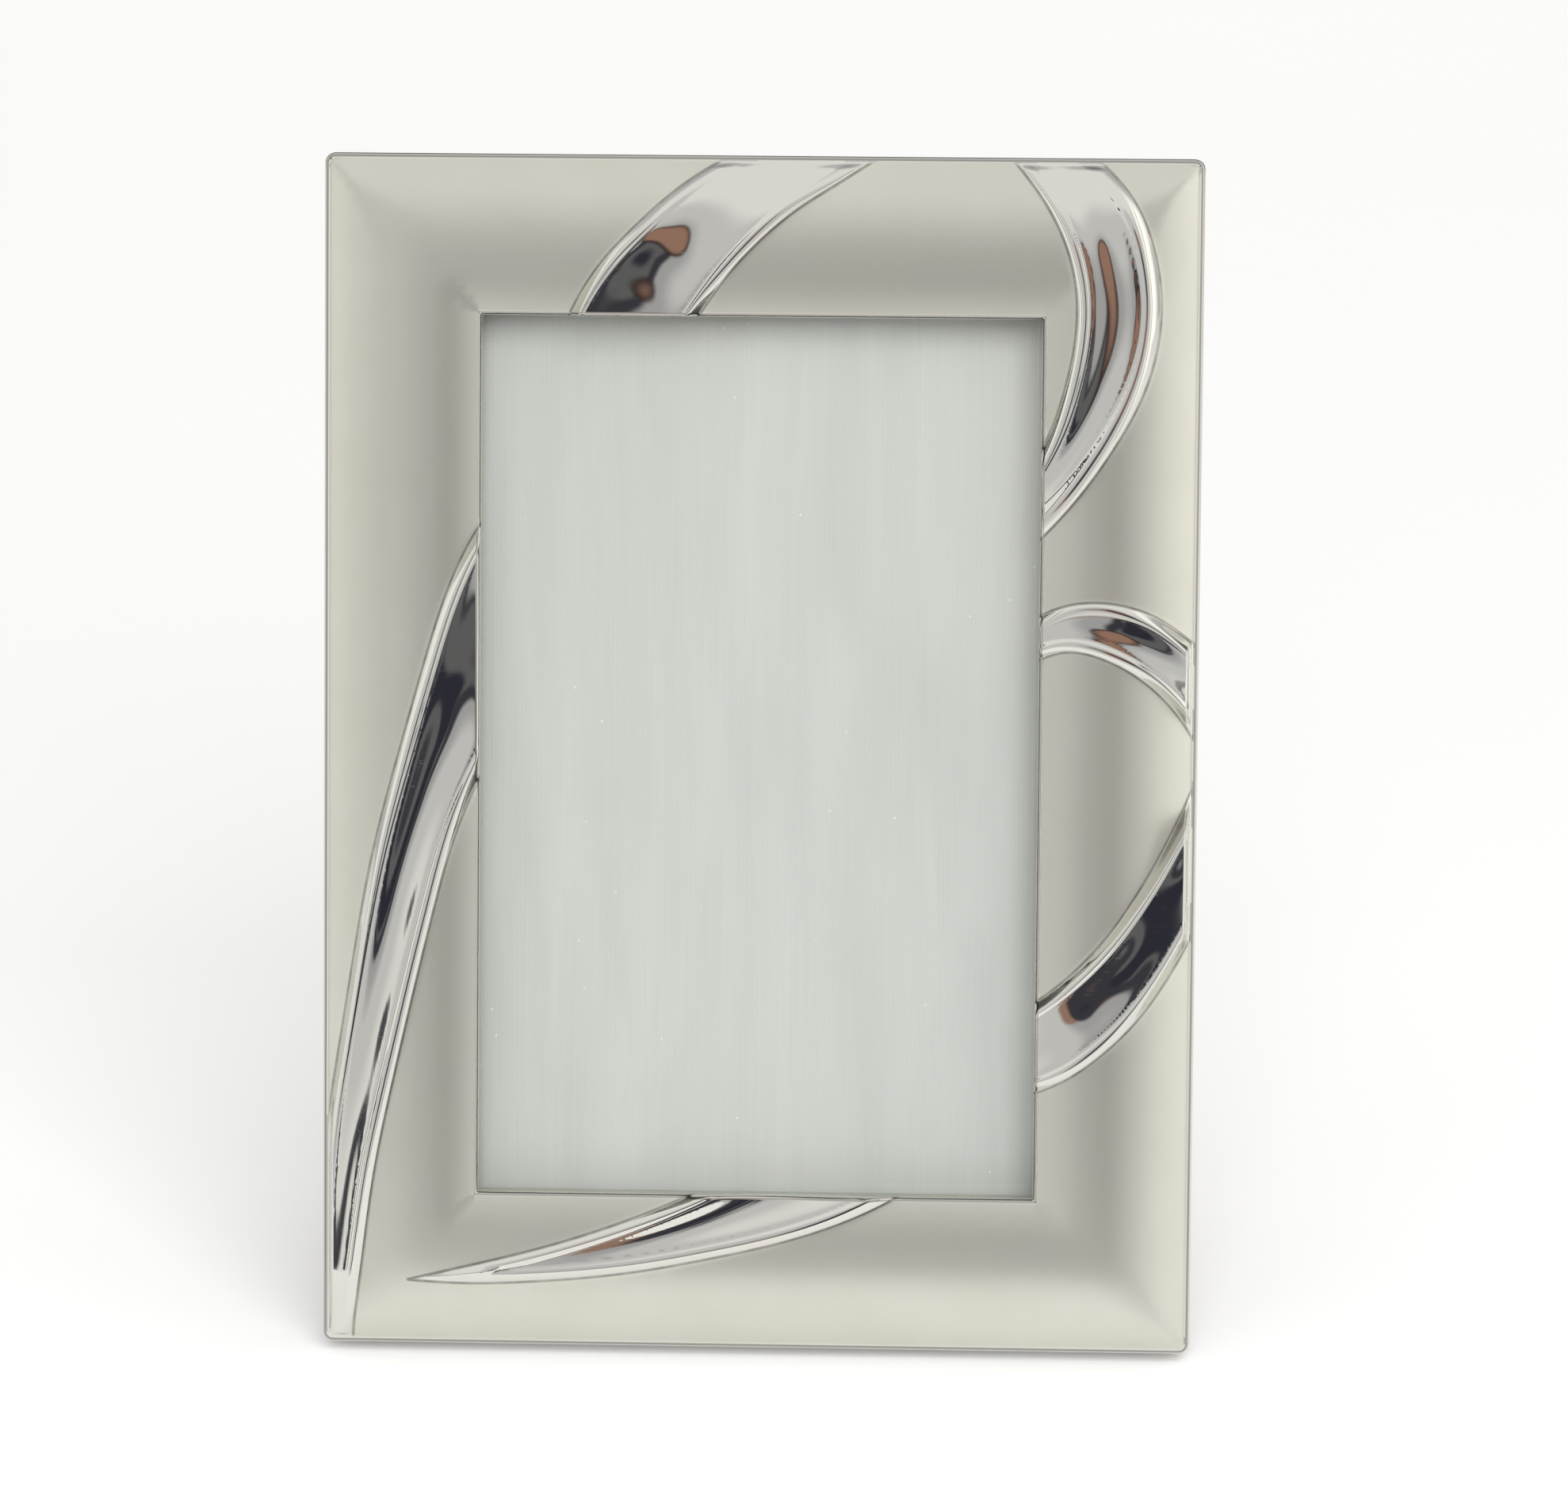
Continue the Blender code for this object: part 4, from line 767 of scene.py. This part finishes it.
def silver_plate():
    material, tree, shader = new_material("silver_plate")
    place = frame_millimetres(tree)
    marks = use_group(tree, metal_marks, {"Position": place, "Cloud Size": 14.0, "Speckle Size": 0.16})
    inset = node(tree, "Attribute", {}, attribute_name="ribbon_inset").outputs["Fac"]
    depth = node(tree, "Attribute", {}, attribute_name="edge_distance").outputs["Fac"]
    on_ribbon = beyond(tree, inset, 0.0)
    off_rim = beyond(tree, depth, POLISHED_RIM)
    on_lip = beyond(tree, depth, POLISHED_LIP)
    on_rim = maths(tree, "SUBTRACT", 1.0, off_rim)
    shine = maths(tree, "MAXIMUM", on_ribbon, maths(tree, "MAXIMUM", on_rim, on_lip))
    satin = mix_colour(tree, marks["Cloud"], SATIN_SILVER, SATIN_SHADOW)
    bright = mix_colour(tree, shine, satin, POLISHED_SILVER)
    # Painted shade and reflection: a patchy painted dark line of crease shade along each toe, fading out at
    # the rim, and painted dark reflection lines along the rim and the lip
    wander = scaled(tree, noise(tree, place, 0.35, 2.0), 0.7, 0.35, clamp=True)
    inward = rising(tree, depth, POLISHED_RIM, POLISHED_RIM + 0.4)
    patchy_toe_shade = scaled(tree, thin_line(tree, inset, 0.0, 0.36), wander)
    painted_toe_shade = scaled(tree, patchy_toe_shade, inward)
    painted_rim_reflection = scaled(tree, thin_line(tree, depth, PAINTED_RIM_LINE_DEPTH, 0.3), 0.75)
    painted_lip_reflection = scaled(tree, thin_line(tree, depth, PAINTED_LIP_LINE_DEPTH, 0.24), 0.6)
    dark = maths(tree, "MAXIMUM", painted_toe_shade, maths(tree, "MAXIMUM", painted_rim_reflection, painted_lip_reflection))
    base = mix_colour(tree, scaled(tree, dark, 0.9), bright, PAINTED_LINE_SHADE)
    rough_satin = scaled(tree, marks["Cloud"], 0.03, 0.39)
    rough_shine = scaled(tree, marks["Scratch"], 0.05, 0.045)
    rough = node(tree, "Mix", {0: shine, 2: rough_satin, 3: rough_shine}, data_type="FLOAT").outputs[0]
    grain = scaled(tree, marks["Speckle"], maths(tree, "SUBTRACT", 1.0, shine))
    fill(tree, shader, {
        "Metallic": 1.0, "Base Color": base, "Roughness": rough, "Normal": bump(tree, grain, SATIN_GRAIN),
    })
    return material


sheet_bm = silver_sheet_mesh()
sheet_levels = np.array([vert[sheet_bm.verts.layers.int["level"]] for vert in sheet_bm.verts])
silver_sheet = add_piece("silver_sheet", sheet_bm, silver_plate(), "frame", "front_shell")
sheet_normals = face_normals(silver_sheet.data, sheet_levels)
silver_sheet.data.transform(FRAME_TO_SCENE)
silver_sheet.data.shade_smooth()
silver_sheet.data.normals_split_custom_set_from_vertices(sheet_normals @ np.array(FRAME_AXES))


# Glass
# A pane of clear float glass, 2 mm thick, cut to the rebate of the rails.
# Its edges are seamed, and it lies behind the lip of the window.

GLASS_TINT = (0.985, 0.995, 0.99, 1.0)
GLASS_SHADE = (0.95, 0.965, 0.958, 1.0)


def float_glass():
    material, tree, shader = new_material("float_glass")
    place = frame_millimetres(tree)
    smear = noise(tree, stretched(tree, place, (0.03, 1.0, 0.012)), 1.0, 4.0, 0.6)
    fill(tree, shader, {
        "Base Color": GLASS_TINT, "Transmission Weight": 1.0, "IOR": 1.46,
        "Roughness": remap(tree, smear, 0.3, 0.8, 0.0, 0.012),
    })
    see_through = node(tree, "BsdfTransparent", {"Color": GLASS_SHADE}).outputs[0]
    path = node(tree, "LightPath", {}).outputs
    passing = maths(tree, "MAXIMUM", path["Is Shadow Ray"], path["Is Diffuse Ray"])
    mixed = node(tree, "MixShader", {0: passing, 1: shader.outputs[0], 2: see_through}).outputs[0]
    fill(tree, tree.nodes["Material Output"], {"Surface": mixed})
    return material


finer_copy("glass_pane", float_glass(), "frame", 0.12)


# Print, card and back board
# A pale fine-ribbed sheet lies behind the glass where the photograph goes, with faint soft creases.
# Behind it come a grey card and a veneered board, held in by the turn buttons.

PRINT_BACK = 5.6
PRINT_FRONT = 5.98
PRINT_SIZE = (101.1, 154.1)
PRINT_EDGE = 0.12
PALE_PAPER = (0.675, 0.672, 0.648, 1.0)
# Darker paper tone, for the weave and clouds and for the painted fold shade
SHADED_PAPER = (0.605, 0.602, 0.580, 1.0)
DUST = (0.84, 0.84, 0.82, 1.0)
RIB_SPACING = 0.62
PAPER_RELIEF = 0.000012
# Middle across and up, angle, half width and height of each crease
CREASES = ((-12.0, 8.0, 78.0, 5.0, 0.16), (7.0, -6.0, 84.0, 6.0, 0.20), (-4.0, 40.0, 70.0, 9.0, 0.10),
           (22.0, -50.0, 62.0, 6.0, 0.14), (-30.0, -52.0, 99.0, 7.0, 0.10), (-16.0, -46.0, 66.0, 4.0, 0.12),
           (30.0, 40.0, 100.0, 10.0, 0.10))
CREASE_SWAY = 2.0
CREASE_SWAYS_OVER = 14.0
CREASE_REACH = 42.0


def paper_rise(points):
    """How far the sheet swells towards the glass at each point, from a few soft creases."""
    total = np.zeros(len(points))
    for u, v, angle, spread, height in CREASES:
        a = math.radians(angle)
        along = (points[:, 0] - u) * math.cos(a) + (points[:, 1] - v) * math.sin(a)
        aside = -(points[:, 0] - u) * math.sin(a) + (points[:, 1] - v) * math.cos(a)
        aside = aside + CREASE_SWAY * np.sin(along / CREASE_SWAYS_OVER + u)
        total += height * np.exp(-((aside / spread) ** 2) - (along / CREASE_REACH) ** 2)
    return total


def print_mesh():
    bm = bmesh.new()
    bmesh.ops.create_grid(bm, x_segments=60, y_segments=90, size=0.5)
    bmesh.ops.scale(bm, vec=(PRINT_SIZE[0], PRINT_SIZE[1], 1.0), verts=bm.verts)
    rise = paper_rise(coordinates(bm.verts)[:, :2])
    border = [edge for edge in bm.edges if edge.is_boundary]
    for vert, height in zip(bm.verts, np.clip(rise, 0.0, PRINT_FRONT - PRINT_BACK - PRINT_EDGE)):
        vert.co.z = PRINT_BACK + PRINT_EDGE + height
    grown = bmesh.ops.extrude_edge_only(bm, edges=border)["geom"]
    back = set(of_kind(grown, bmesh.types.BMVert))
    for vert in back:
        vert.co.z = PRINT_BACK
    foot = [edge for edge in of_kind(grown, bmesh.types.BMEdge) if back.issuperset(edge.verts)]
    bmesh.ops.contextual_create(bm, geom=foot)
    bmesh.ops.recalc_face_normals(bm, faces=bm.faces)
    bmesh.ops.transform(bm, matrix=FRAME_TO_SCENE, verts=bm.verts)
    return bm


def ribbed_paper():
    material, tree, shader = new_material("ribbed_paper")
    place = frame_millimetres(tree)
    across = node(tree, "SeparateXYZ", {0: place}).outputs[0]
    sway = noise(tree, stretched(tree, place, (0.5, 1.0, 0.05)), 1.0, 2.0, 0.5)
    swaying = scaled(tree, sway, 5.0)
    rib = maths(tree, "SINE", scaled(tree, across, 2.0 * math.pi / RIB_SPACING, swaying))
    thread = noise(tree, stretched(tree, place, (1.7, 1.0, 0.04)), 1.0, 3.0, 0.6)
    # Long soft streaks up the sheet are painted fold shade; the ribs, threads and clouds are the paper's
    # own tone
    painted_fold_shade = noise(tree, stretched(tree, place, (0.13, 1.0, 0.016)), 1.0, 2.0, 0.5, 0.6)
    cloud = noise(tree, stretched(tree, place, (1.0, 1.0, 0.5)), 0.05, 3.0, 0.5)
    woven = scaled(tree, rib, 0.10, scaled(tree, thread, 0.55, -0.28))
    cloudy = scaled(tree, cloud, 0.6, -0.42)
    tone = maths(tree, "ADD", woven, scaled(tree, painted_fold_shade, 1.3, cloudy), clamp=True)
    plain = mix_colour(tree, tone, PALE_PAPER, SHADED_PAPER)
    speck = node(tree, "TexVoronoi", {"Vector": place, "Scale": 0.2}).outputs["Distance"]
    dust = falling(tree, speck, 0.026, 0.046)
    raised = scaled(tree, rib, 0.2, thread)
    fill(tree, shader, {
        "Base Color": mix_colour(tree, dust, plain, DUST), "Specular IOR Level": 0.3,
        "Roughness": remap(tree, cloud, 0.3, 0.7, 0.62, 0.72), "Normal": bump(tree, raised, PAPER_RELIEF),
    })
    return material


print_sheet = add_piece("print_sheet", print_mesh(), ribbed_paper(), "frame", "photo_insert")
shade_round(print_sheet, 40.0)


CARD_LIGHT = (0.47, 0.44, 0.39, 1.0)
CARD_DARK = (0.38, 0.355, 0.31, 1.0)


def grey_card():
    material, tree, shader = new_material("grey_card")
    fibre = noise(tree, stretched(tree, frame_millimetres(tree), (2.0, 2.0, 0.7)), 1.6, 4.0, 0.65)
    fill(tree, shader, {
        "Base Color": mix_colour(tree, fibre, CARD_LIGHT, CARD_DARK),
        "Roughness": remap(tree, fibre, 0.3, 0.7, 0.75, 0.9), "Normal": bump(tree, fibre, 0.00004),
    })
    return material


finer_copy("backing_card", grey_card(), "frame", 0.1)

BOARD_LIGHT = (0.235, 0.118, 0.058, 1.0)
BOARD_DARK = (0.115, 0.052, 0.026, 1.0)
BOARD_RINGS = 4.6
board_wood = lacquered_wood(
    "board_wood", BOARD_LIGHT, BOARD_DARK, (0.0, QUARTER_TURN, 0.0), BOARD_RINGS, 0.42,
)
finer_copy("back_board", board_wood, "frame", 0.12, steep=60.0)


# Turn buttons
# Four brass plates, stamped with rounded ends, each on a slotted round-head screw
# in a side rail. Their tongues hold the back board in.

BRASS = (0.74, 0.55, 0.27, 1.0)
BRASS_DARK = (0.62, 0.44, 0.20, 1.0)
# Radius and height of the head, and radius of the shank
BUTTON_SCREW = (2.2, 1.0, 1.0)
BUTTON_SLOTS = (("left_upper", 38.0), ("left_lower", -15.0), ("right_upper", 74.0), ("right_lower", 20.0))
SCREW_TURNS = 48
CROWN_STEPS = 8
SLOT_STEP = 5
SLOT_SHARE = 0.16
SCREW_POINT = 1.5
ROUND_OFF = 1e-4


def screw_ends(node_name):
    """The crown of a screw's head and the tip of its shank, from its CAD solid."""
    points = coordinates(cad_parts[node_name].data.vertices)
    gaps = np.linalg.norm(points[:, None] - points[None], axis=2)
    ends = np.unravel_index(gaps.argmax(), gaps.shape)
    middle = points.mean(axis=0)
    crown, tip = sorted((points[end] for end in ends), key=lambda end: np.linalg.norm(end - middle))
    return Vector(crown), Vector(tip)


def cut_slot(bm, head_radius, floor):
    """Sinks a straight slot across the crown, down to a ring of the head at the floor's height."""
    half = SLOT_SHARE * head_radius
    near = 0.1 * ROUND_OFF
    for side in (-half, half):
        head = [face for face in bm.faces if face.calc_center_median().z > ROUND_OFF]
        edges = dict.fromkeys(edge for face in head for edge in face.edges)
        verts = dict.fromkeys(vert for face in head for vert in face.verts)
        cut = [*head, *edges, *verts]
        bmesh.ops.bisect_plane(bm, geom=cut, plane_co=(side, 0.0, 0.0), plane_no=ACROSS, dist=near)
    middle = [face for face in bm.faces if abs(face.calc_center_median().x) < half]
    band = [face for face in middle if min(vert.co.z for vert in face.verts) > floor - ROUND_OFF]
    sunk = bmesh.ops.extrude_face_region(bm, geom=band)["geom"]
    for vert in of_kind(sunk, bmesh.types.BMVert):
        vert.co.z = floor
    bmesh.ops.delete(bm, geom=band, context="FACES")
    bmesh.ops.remove_doubles(bm, verts=bm.verts, dist=ROUND_OFF)


def slotted_screw(node_name, material, body, slot, head_radius, head_height, shank_radius, slot_turn):
    """A round-headed wood screw turned about its own axis, with a slot across its crown."""
    crown, tip = screw_ends(node_name)
    end = head_height - (crown - tip).length / MM
    rings = [QUARTER_TURN * step / CROWN_STEPS for step in range(CROWN_STEPS + 1)]
    profile = [(head_radius * math.sin(ring), head_height * math.cos(ring)) for ring in rings]
    profile += [(shank_radius, 0.0), (shank_radius, end + SCREW_POINT * shank_radius), (0.0, end)]
    bm = bmesh.new()
    rail = [bm.verts.new((across, 0.0, up)) for across, up in profile]
    edges = [bm.edges.new(pair) for pair in zip(rail, rail[1:])]
    bmesh.ops.spin(
        bm, geom=rail + edges, cent=(0.0, 0.0, 0.0), axis=(0.0, 0.0, 1.0),
        angle=2.0 * math.pi, steps=SCREW_TURNS, use_merge=True,
    )
    bmesh.ops.remove_doubles(bm, verts=bm.verts, dist=ROUND_OFF)
    cut_slot(bm, head_radius, head_height * math.cos(rings[SLOT_STEP]))
    bmesh.ops.recalc_face_normals(bm, faces=bm.faces)
    axis = (crown - tip).normalized()
    across = (ACROSS - axis * ACROSS.dot(axis)).normalized()
    turned = Matrix.Rotation(math.radians(slot_turn), 4, "Z")
    placed = Matrix((across, axis.cross(across), axis)).transposed().to_4x4()
    seat = Matrix.Translation(crown - axis * head_height * MM)
    bmesh.ops.transform(bm, matrix=seat @ placed @ turned @ Matrix.Scale(MM, 4), verts=bm.verts)
    shade_round(add_piece("slotted_" + node_name, bm, material, body, node_name), 40.0)


brass = plain_metal("brass", BRASS, BRASS_DARK, 0.26)
for label, slot_turn in BUTTON_SLOTS:
    finer_copy(f"turn_button_{label}", brass, f"button_{label}", 0.2, 3)
    slotted_screw(f"turn_button_screw_{label}", brass, "frame", "brass", *BUTTON_SCREW, slot_turn)


# Hinge, strut and their screws
# A small zinc-plated butt hinge joins the strut to the back board with round-head screws.
# The strut is lacquered wood, bevelled at its heel and foot.

HINGE_SCREW = (1.7, 0.6, 0.8)
LEAF_SLOTS = (
    ("fixed_leaf_screw_1", "frame", 12.0), ("fixed_leaf_screw_2", "frame", -50.0),
    ("moving_leaf_screw_1", "strut", 80.0), ("moving_leaf_screw_2", "strut", 33.0),
)
STRUT_OPENS = math.radians(25.7)

for name, body in (("hinge_fixed_leaf", "frame"), ("hinge_moving_leaf", "strut"), ("hinge_pin", "frame")):
    finer_copy(name, zinc_plate, body, 0.1)
for name, body, slot_turn in LEAF_SLOTS:
    slotted_screw(name, zinc_plate, body, "zinc_plated_steel", *HINGE_SCREW, slot_turn)
along_strut = (-STRUT_OPENS, QUARTER_TURN, 0.0)
strut_wood = lacquered_wood("strut_wood", BOARD_LIGHT, BOARD_DARK, along_strut, BOARD_RINGS, 0.40)
finer_copy("easel_strut", strut_wood, "strut", 0.12, steep=60.0)


# Table, studio light and camera
# The frame stands on a plain white table that ends a little in front of it.
# A soft studio surrounds it: pale walls, a bright side light and a dim middle behind the camera.

TABLE_SIDE = 1.6
TABLE_FRONT = -0.15
TABLE_BACK = 3.2
TABLE_WHITE = (0.86, 0.86, 0.86, 1.0)
TABLE_PALE = (0.87, 0.87, 0.87, 1.0)
WHITE = (1.0, 1.0, 1.0, 1.0)
TABLE_GLOW = 0.20
TABLE_GLOW_BEHIND = 0.34
TABLE_GLOW_IN_METAL = 0.3


def table_white():
    material, tree, shader = new_material("table_white")
    place = node(tree, "TexCoord", {}).outputs["Object"]
    faint = noise(tree, place, 6.0, 2.0)
    path = node(tree, "LightPath", {}).outputs
    seen = maths(tree, "ADD", path["Is Camera Ray"], path["Is Transmission Ray"])
    seen = scaled(tree, path["Is Glossy Ray"], TABLE_GLOW_IN_METAL, seen, clamp=True)
    away = node(tree, "SeparateXYZ", {0: place}).outputs[1]
    glow = remap(tree, away, 0.3, 1.6, TABLE_GLOW, TABLE_GLOW_BEHIND)
    fill(tree, shader, {
        "Base Color": mix_colour(tree, faint, TABLE_WHITE, TABLE_PALE), "Roughness": 0.9,
        "Specular IOR Level": 0.1, "Emission Color": WHITE,
        "Emission Strength": scaled(tree, seen, glow),
    })
    return material


table_bm = bmesh.new()
bmesh.ops.create_grid(table_bm, x_segments=1, y_segments=1, size=1.0)
for vert in table_bm.verts:
    vert.co = (vert.co.x * TABLE_SIDE, TABLE_FRONT if vert.co.y < 0 else TABLE_BACK, 0.0)
table_top = mesh_object("table_top", table_bm, table_white())

# Across and up from the frame's face in degrees, half width and half height, softness, colour
STUDIO_PATCHES = (
    (-80.0, 0.0, 26.0, 80.0, 0.35, (0.98, 0.97, 0.93)),
    (-62.0, 0.0, 2.6, 75.0, 0.40, (0.10, 0.10, 0.11)),
    (-40.0, 0.0, 2.6, 58.0, 0.40, (0.05, 0.05, 0.06)),
    (40.0, 0.0, 2.0, 52.0, 0.40, (0.07, 0.065, 0.065)),
    (4.0, -4.0, 36.0, 40.0, 0.30, (0.62, 0.62, 0.625)),
    (9.0, -6.0, 15.0, 20.0, 0.30, (0.40, 0.40, 0.41)),
    (5.0, -20.0, 9.0, 8.0, 0.25, (0.32, 0.20, 0.15)),
    (10.0, -11.0, 9.0, 14.0, 0.12, (0.045, 0.045, 0.056)),
    (11.0, -9.0, 6.0, 9.0, 0.14, (0.125, 0.127, 0.132)),
    (9.0, -13.0, 3.6, 6.0, 0.20, (0.030, 0.030, 0.044)),
    (9.0, 4.0, 8.6, 8.0, 0.12, (0.050, 0.035, 0.035)),
    (9.0, 4.4, 7.0, 6.4, 0.22, (0.33, 0.19, 0.14)),
    (84.0, 30.0, 32.0, 76.0, 0.30, (1.30, 1.28, 1.22)),
    (66.0, 5.0, 1.4, 70.0, 0.40, (0.10, 0.095, 0.09)),
)
STUDIO_MIDDLE = (0.86, 0.855, 0.83, 1.0)
STUDIO_TOP = (0.84, 0.84, 0.82, 1.0)
STUDIO_BOTTOM = (0.80, 0.795, 0.75, 1.0)
STUDIO_BEHIND = (0.52, 0.52, 0.53, 1.0)
STUDIO_BACK = (0.10, 0.10, 0.11, 1.0)


def soft_window_group():
    """Mask of a soft-edged oval in the studio, on the map where the frame's face looks at the middle."""
    tree, given, result = new_group(
        "soft_window",
        [("Map", "Vector", None), ("Centre", "Vector", None), ("Half Size", "Vector", None),
         ("Softness", "Float", 0.2)],
        [("Mask", "Float")],
    )
    away = vector_maths(tree, "SUBTRACT", given["Map"], given["Centre"])
    share = vector_maths(tree, "LENGTH", vector_maths(tree, "DIVIDE", away, given["Half Size"]))
    near = maths(tree, "SUBTRACT", 1.0, given["Softness"])
    far = maths(tree, "ADD", 1.0, given["Softness"])
    fill(tree, result, {"Mask": falling(tree, share, near, far)})
    return tree


soft_window = soft_window_group()


def on_map(middle, half):
    """Centre and half size on the map of a span of directions in degrees."""
    low, high = (math.tan(math.radians(middle + side * half) / 2.0) for side in (-1.0, 1.0))
    return (low + high) / 2.0, (high - low) / 2.0


def studio_world():
    world = bpy.data.worlds.new("soft_studio")
    world.use_nodes = True
    tree = world.node_tree
    direction = node(tree, "TexCoord", {}).outputs["Generated"]
    axes = (tuple(axis) for axis in FRAME_AXES)
    right, up, out = (vector_maths(tree, "DOT_PRODUCT", direction, axis) for axis in axes)
    ahead = maths(tree, "MAXIMUM", maths(tree, "ADD", out, 1.0), 0.02)
    across, upward = (maths(tree, "DIVIDE", aside, ahead) for aside in (right, up))
    flat = node(tree, "CombineXYZ", {0: across, 1: upward}).outputs[0]
    high = rising(tree, up, 0.15, 0.9)
    low = falling(tree, up, -0.9, -0.15)
    colour = mix_colour(tree, high, STUDIO_MIDDLE, STUDIO_TOP)
    colour = mix_colour(tree, low, colour, STUDIO_BOTTOM)
    for middle_x, middle_y, span_x, span_y, softness, shade in STUDIO_PATCHES:
        centre_x, half_x = on_map(middle_x, span_x)
        centre_y, half_y = on_map(middle_y, span_y)
        values = {"Map": flat, "Centre": (centre_x, centre_y, 0.0),
                  "Half Size": (half_x, half_y, 1.0), "Softness": softness}
        mask = use_group(tree, soft_window, values)["Mask"]
        colour = mix_colour(tree, mask, colour, (*shade, 1.0))
    behind = falling(tree, out, -0.30, 0.02)
    colour = mix_colour(tree, behind, colour, STUDIO_BEHIND)
    far_back = falling(tree, out, -0.75, -0.35)
    colour = mix_colour(tree, far_back, colour, STUDIO_BACK)
    path = node(tree, "LightPath", {}).outputs
    reflected = maths(tree, "ADD", path["Is Glossy Ray"], path["Is Transmission Ray"])
    backdrop = scaled(tree, reflected, falling(tree, out, -0.97, -0.93))
    seen = maths(tree, "ADD", path["Is Camera Ray"], backdrop, clamp=True)
    fill(tree, tree.nodes["Background"], {"Color": mix_colour(tree, seen, colour, WHITE)})
    return world


bpy.context.scene.world = studio_world()


SOFTBOX_PLACE = Vector((0.35, -1.3, 1.15))
SOFTBOX_AIM = Vector((0.0, 0.0, 0.1))
softbox = in_scene("front_softbox", bpy.data.lights.new("front_softbox", "AREA"))
softbox.data.shape = "RECTANGLE"
softbox.data.size = 1.3
softbox.data.size_y = 1.0
softbox.data.energy = 17.0
softbox.location = SOFTBOX_PLACE
softbox.rotation_euler = (SOFTBOX_AIM - SOFTBOX_PLACE).to_track_quat("-Z", "Y").to_euler()
softbox.visible_glossy = False
softbox.visible_transmission = False

CAMERA_PLACE = (0.044674, -0.997352, 0.438035)
CAMERA_TURN = (71.0911, 0.0782, 2.3323)
camera = in_scene("camera", bpy.data.cameras.new("camera"))
camera.location = CAMERA_PLACE
camera.rotation_euler = [math.radians(angle) for angle in CAMERA_TURN]
camera.data.sensor_width = 36.0
camera.data.lens = 145.6
bpy.context.scene.camera = camera
bpy.context.scene.view_settings.view_transform = "Standard"
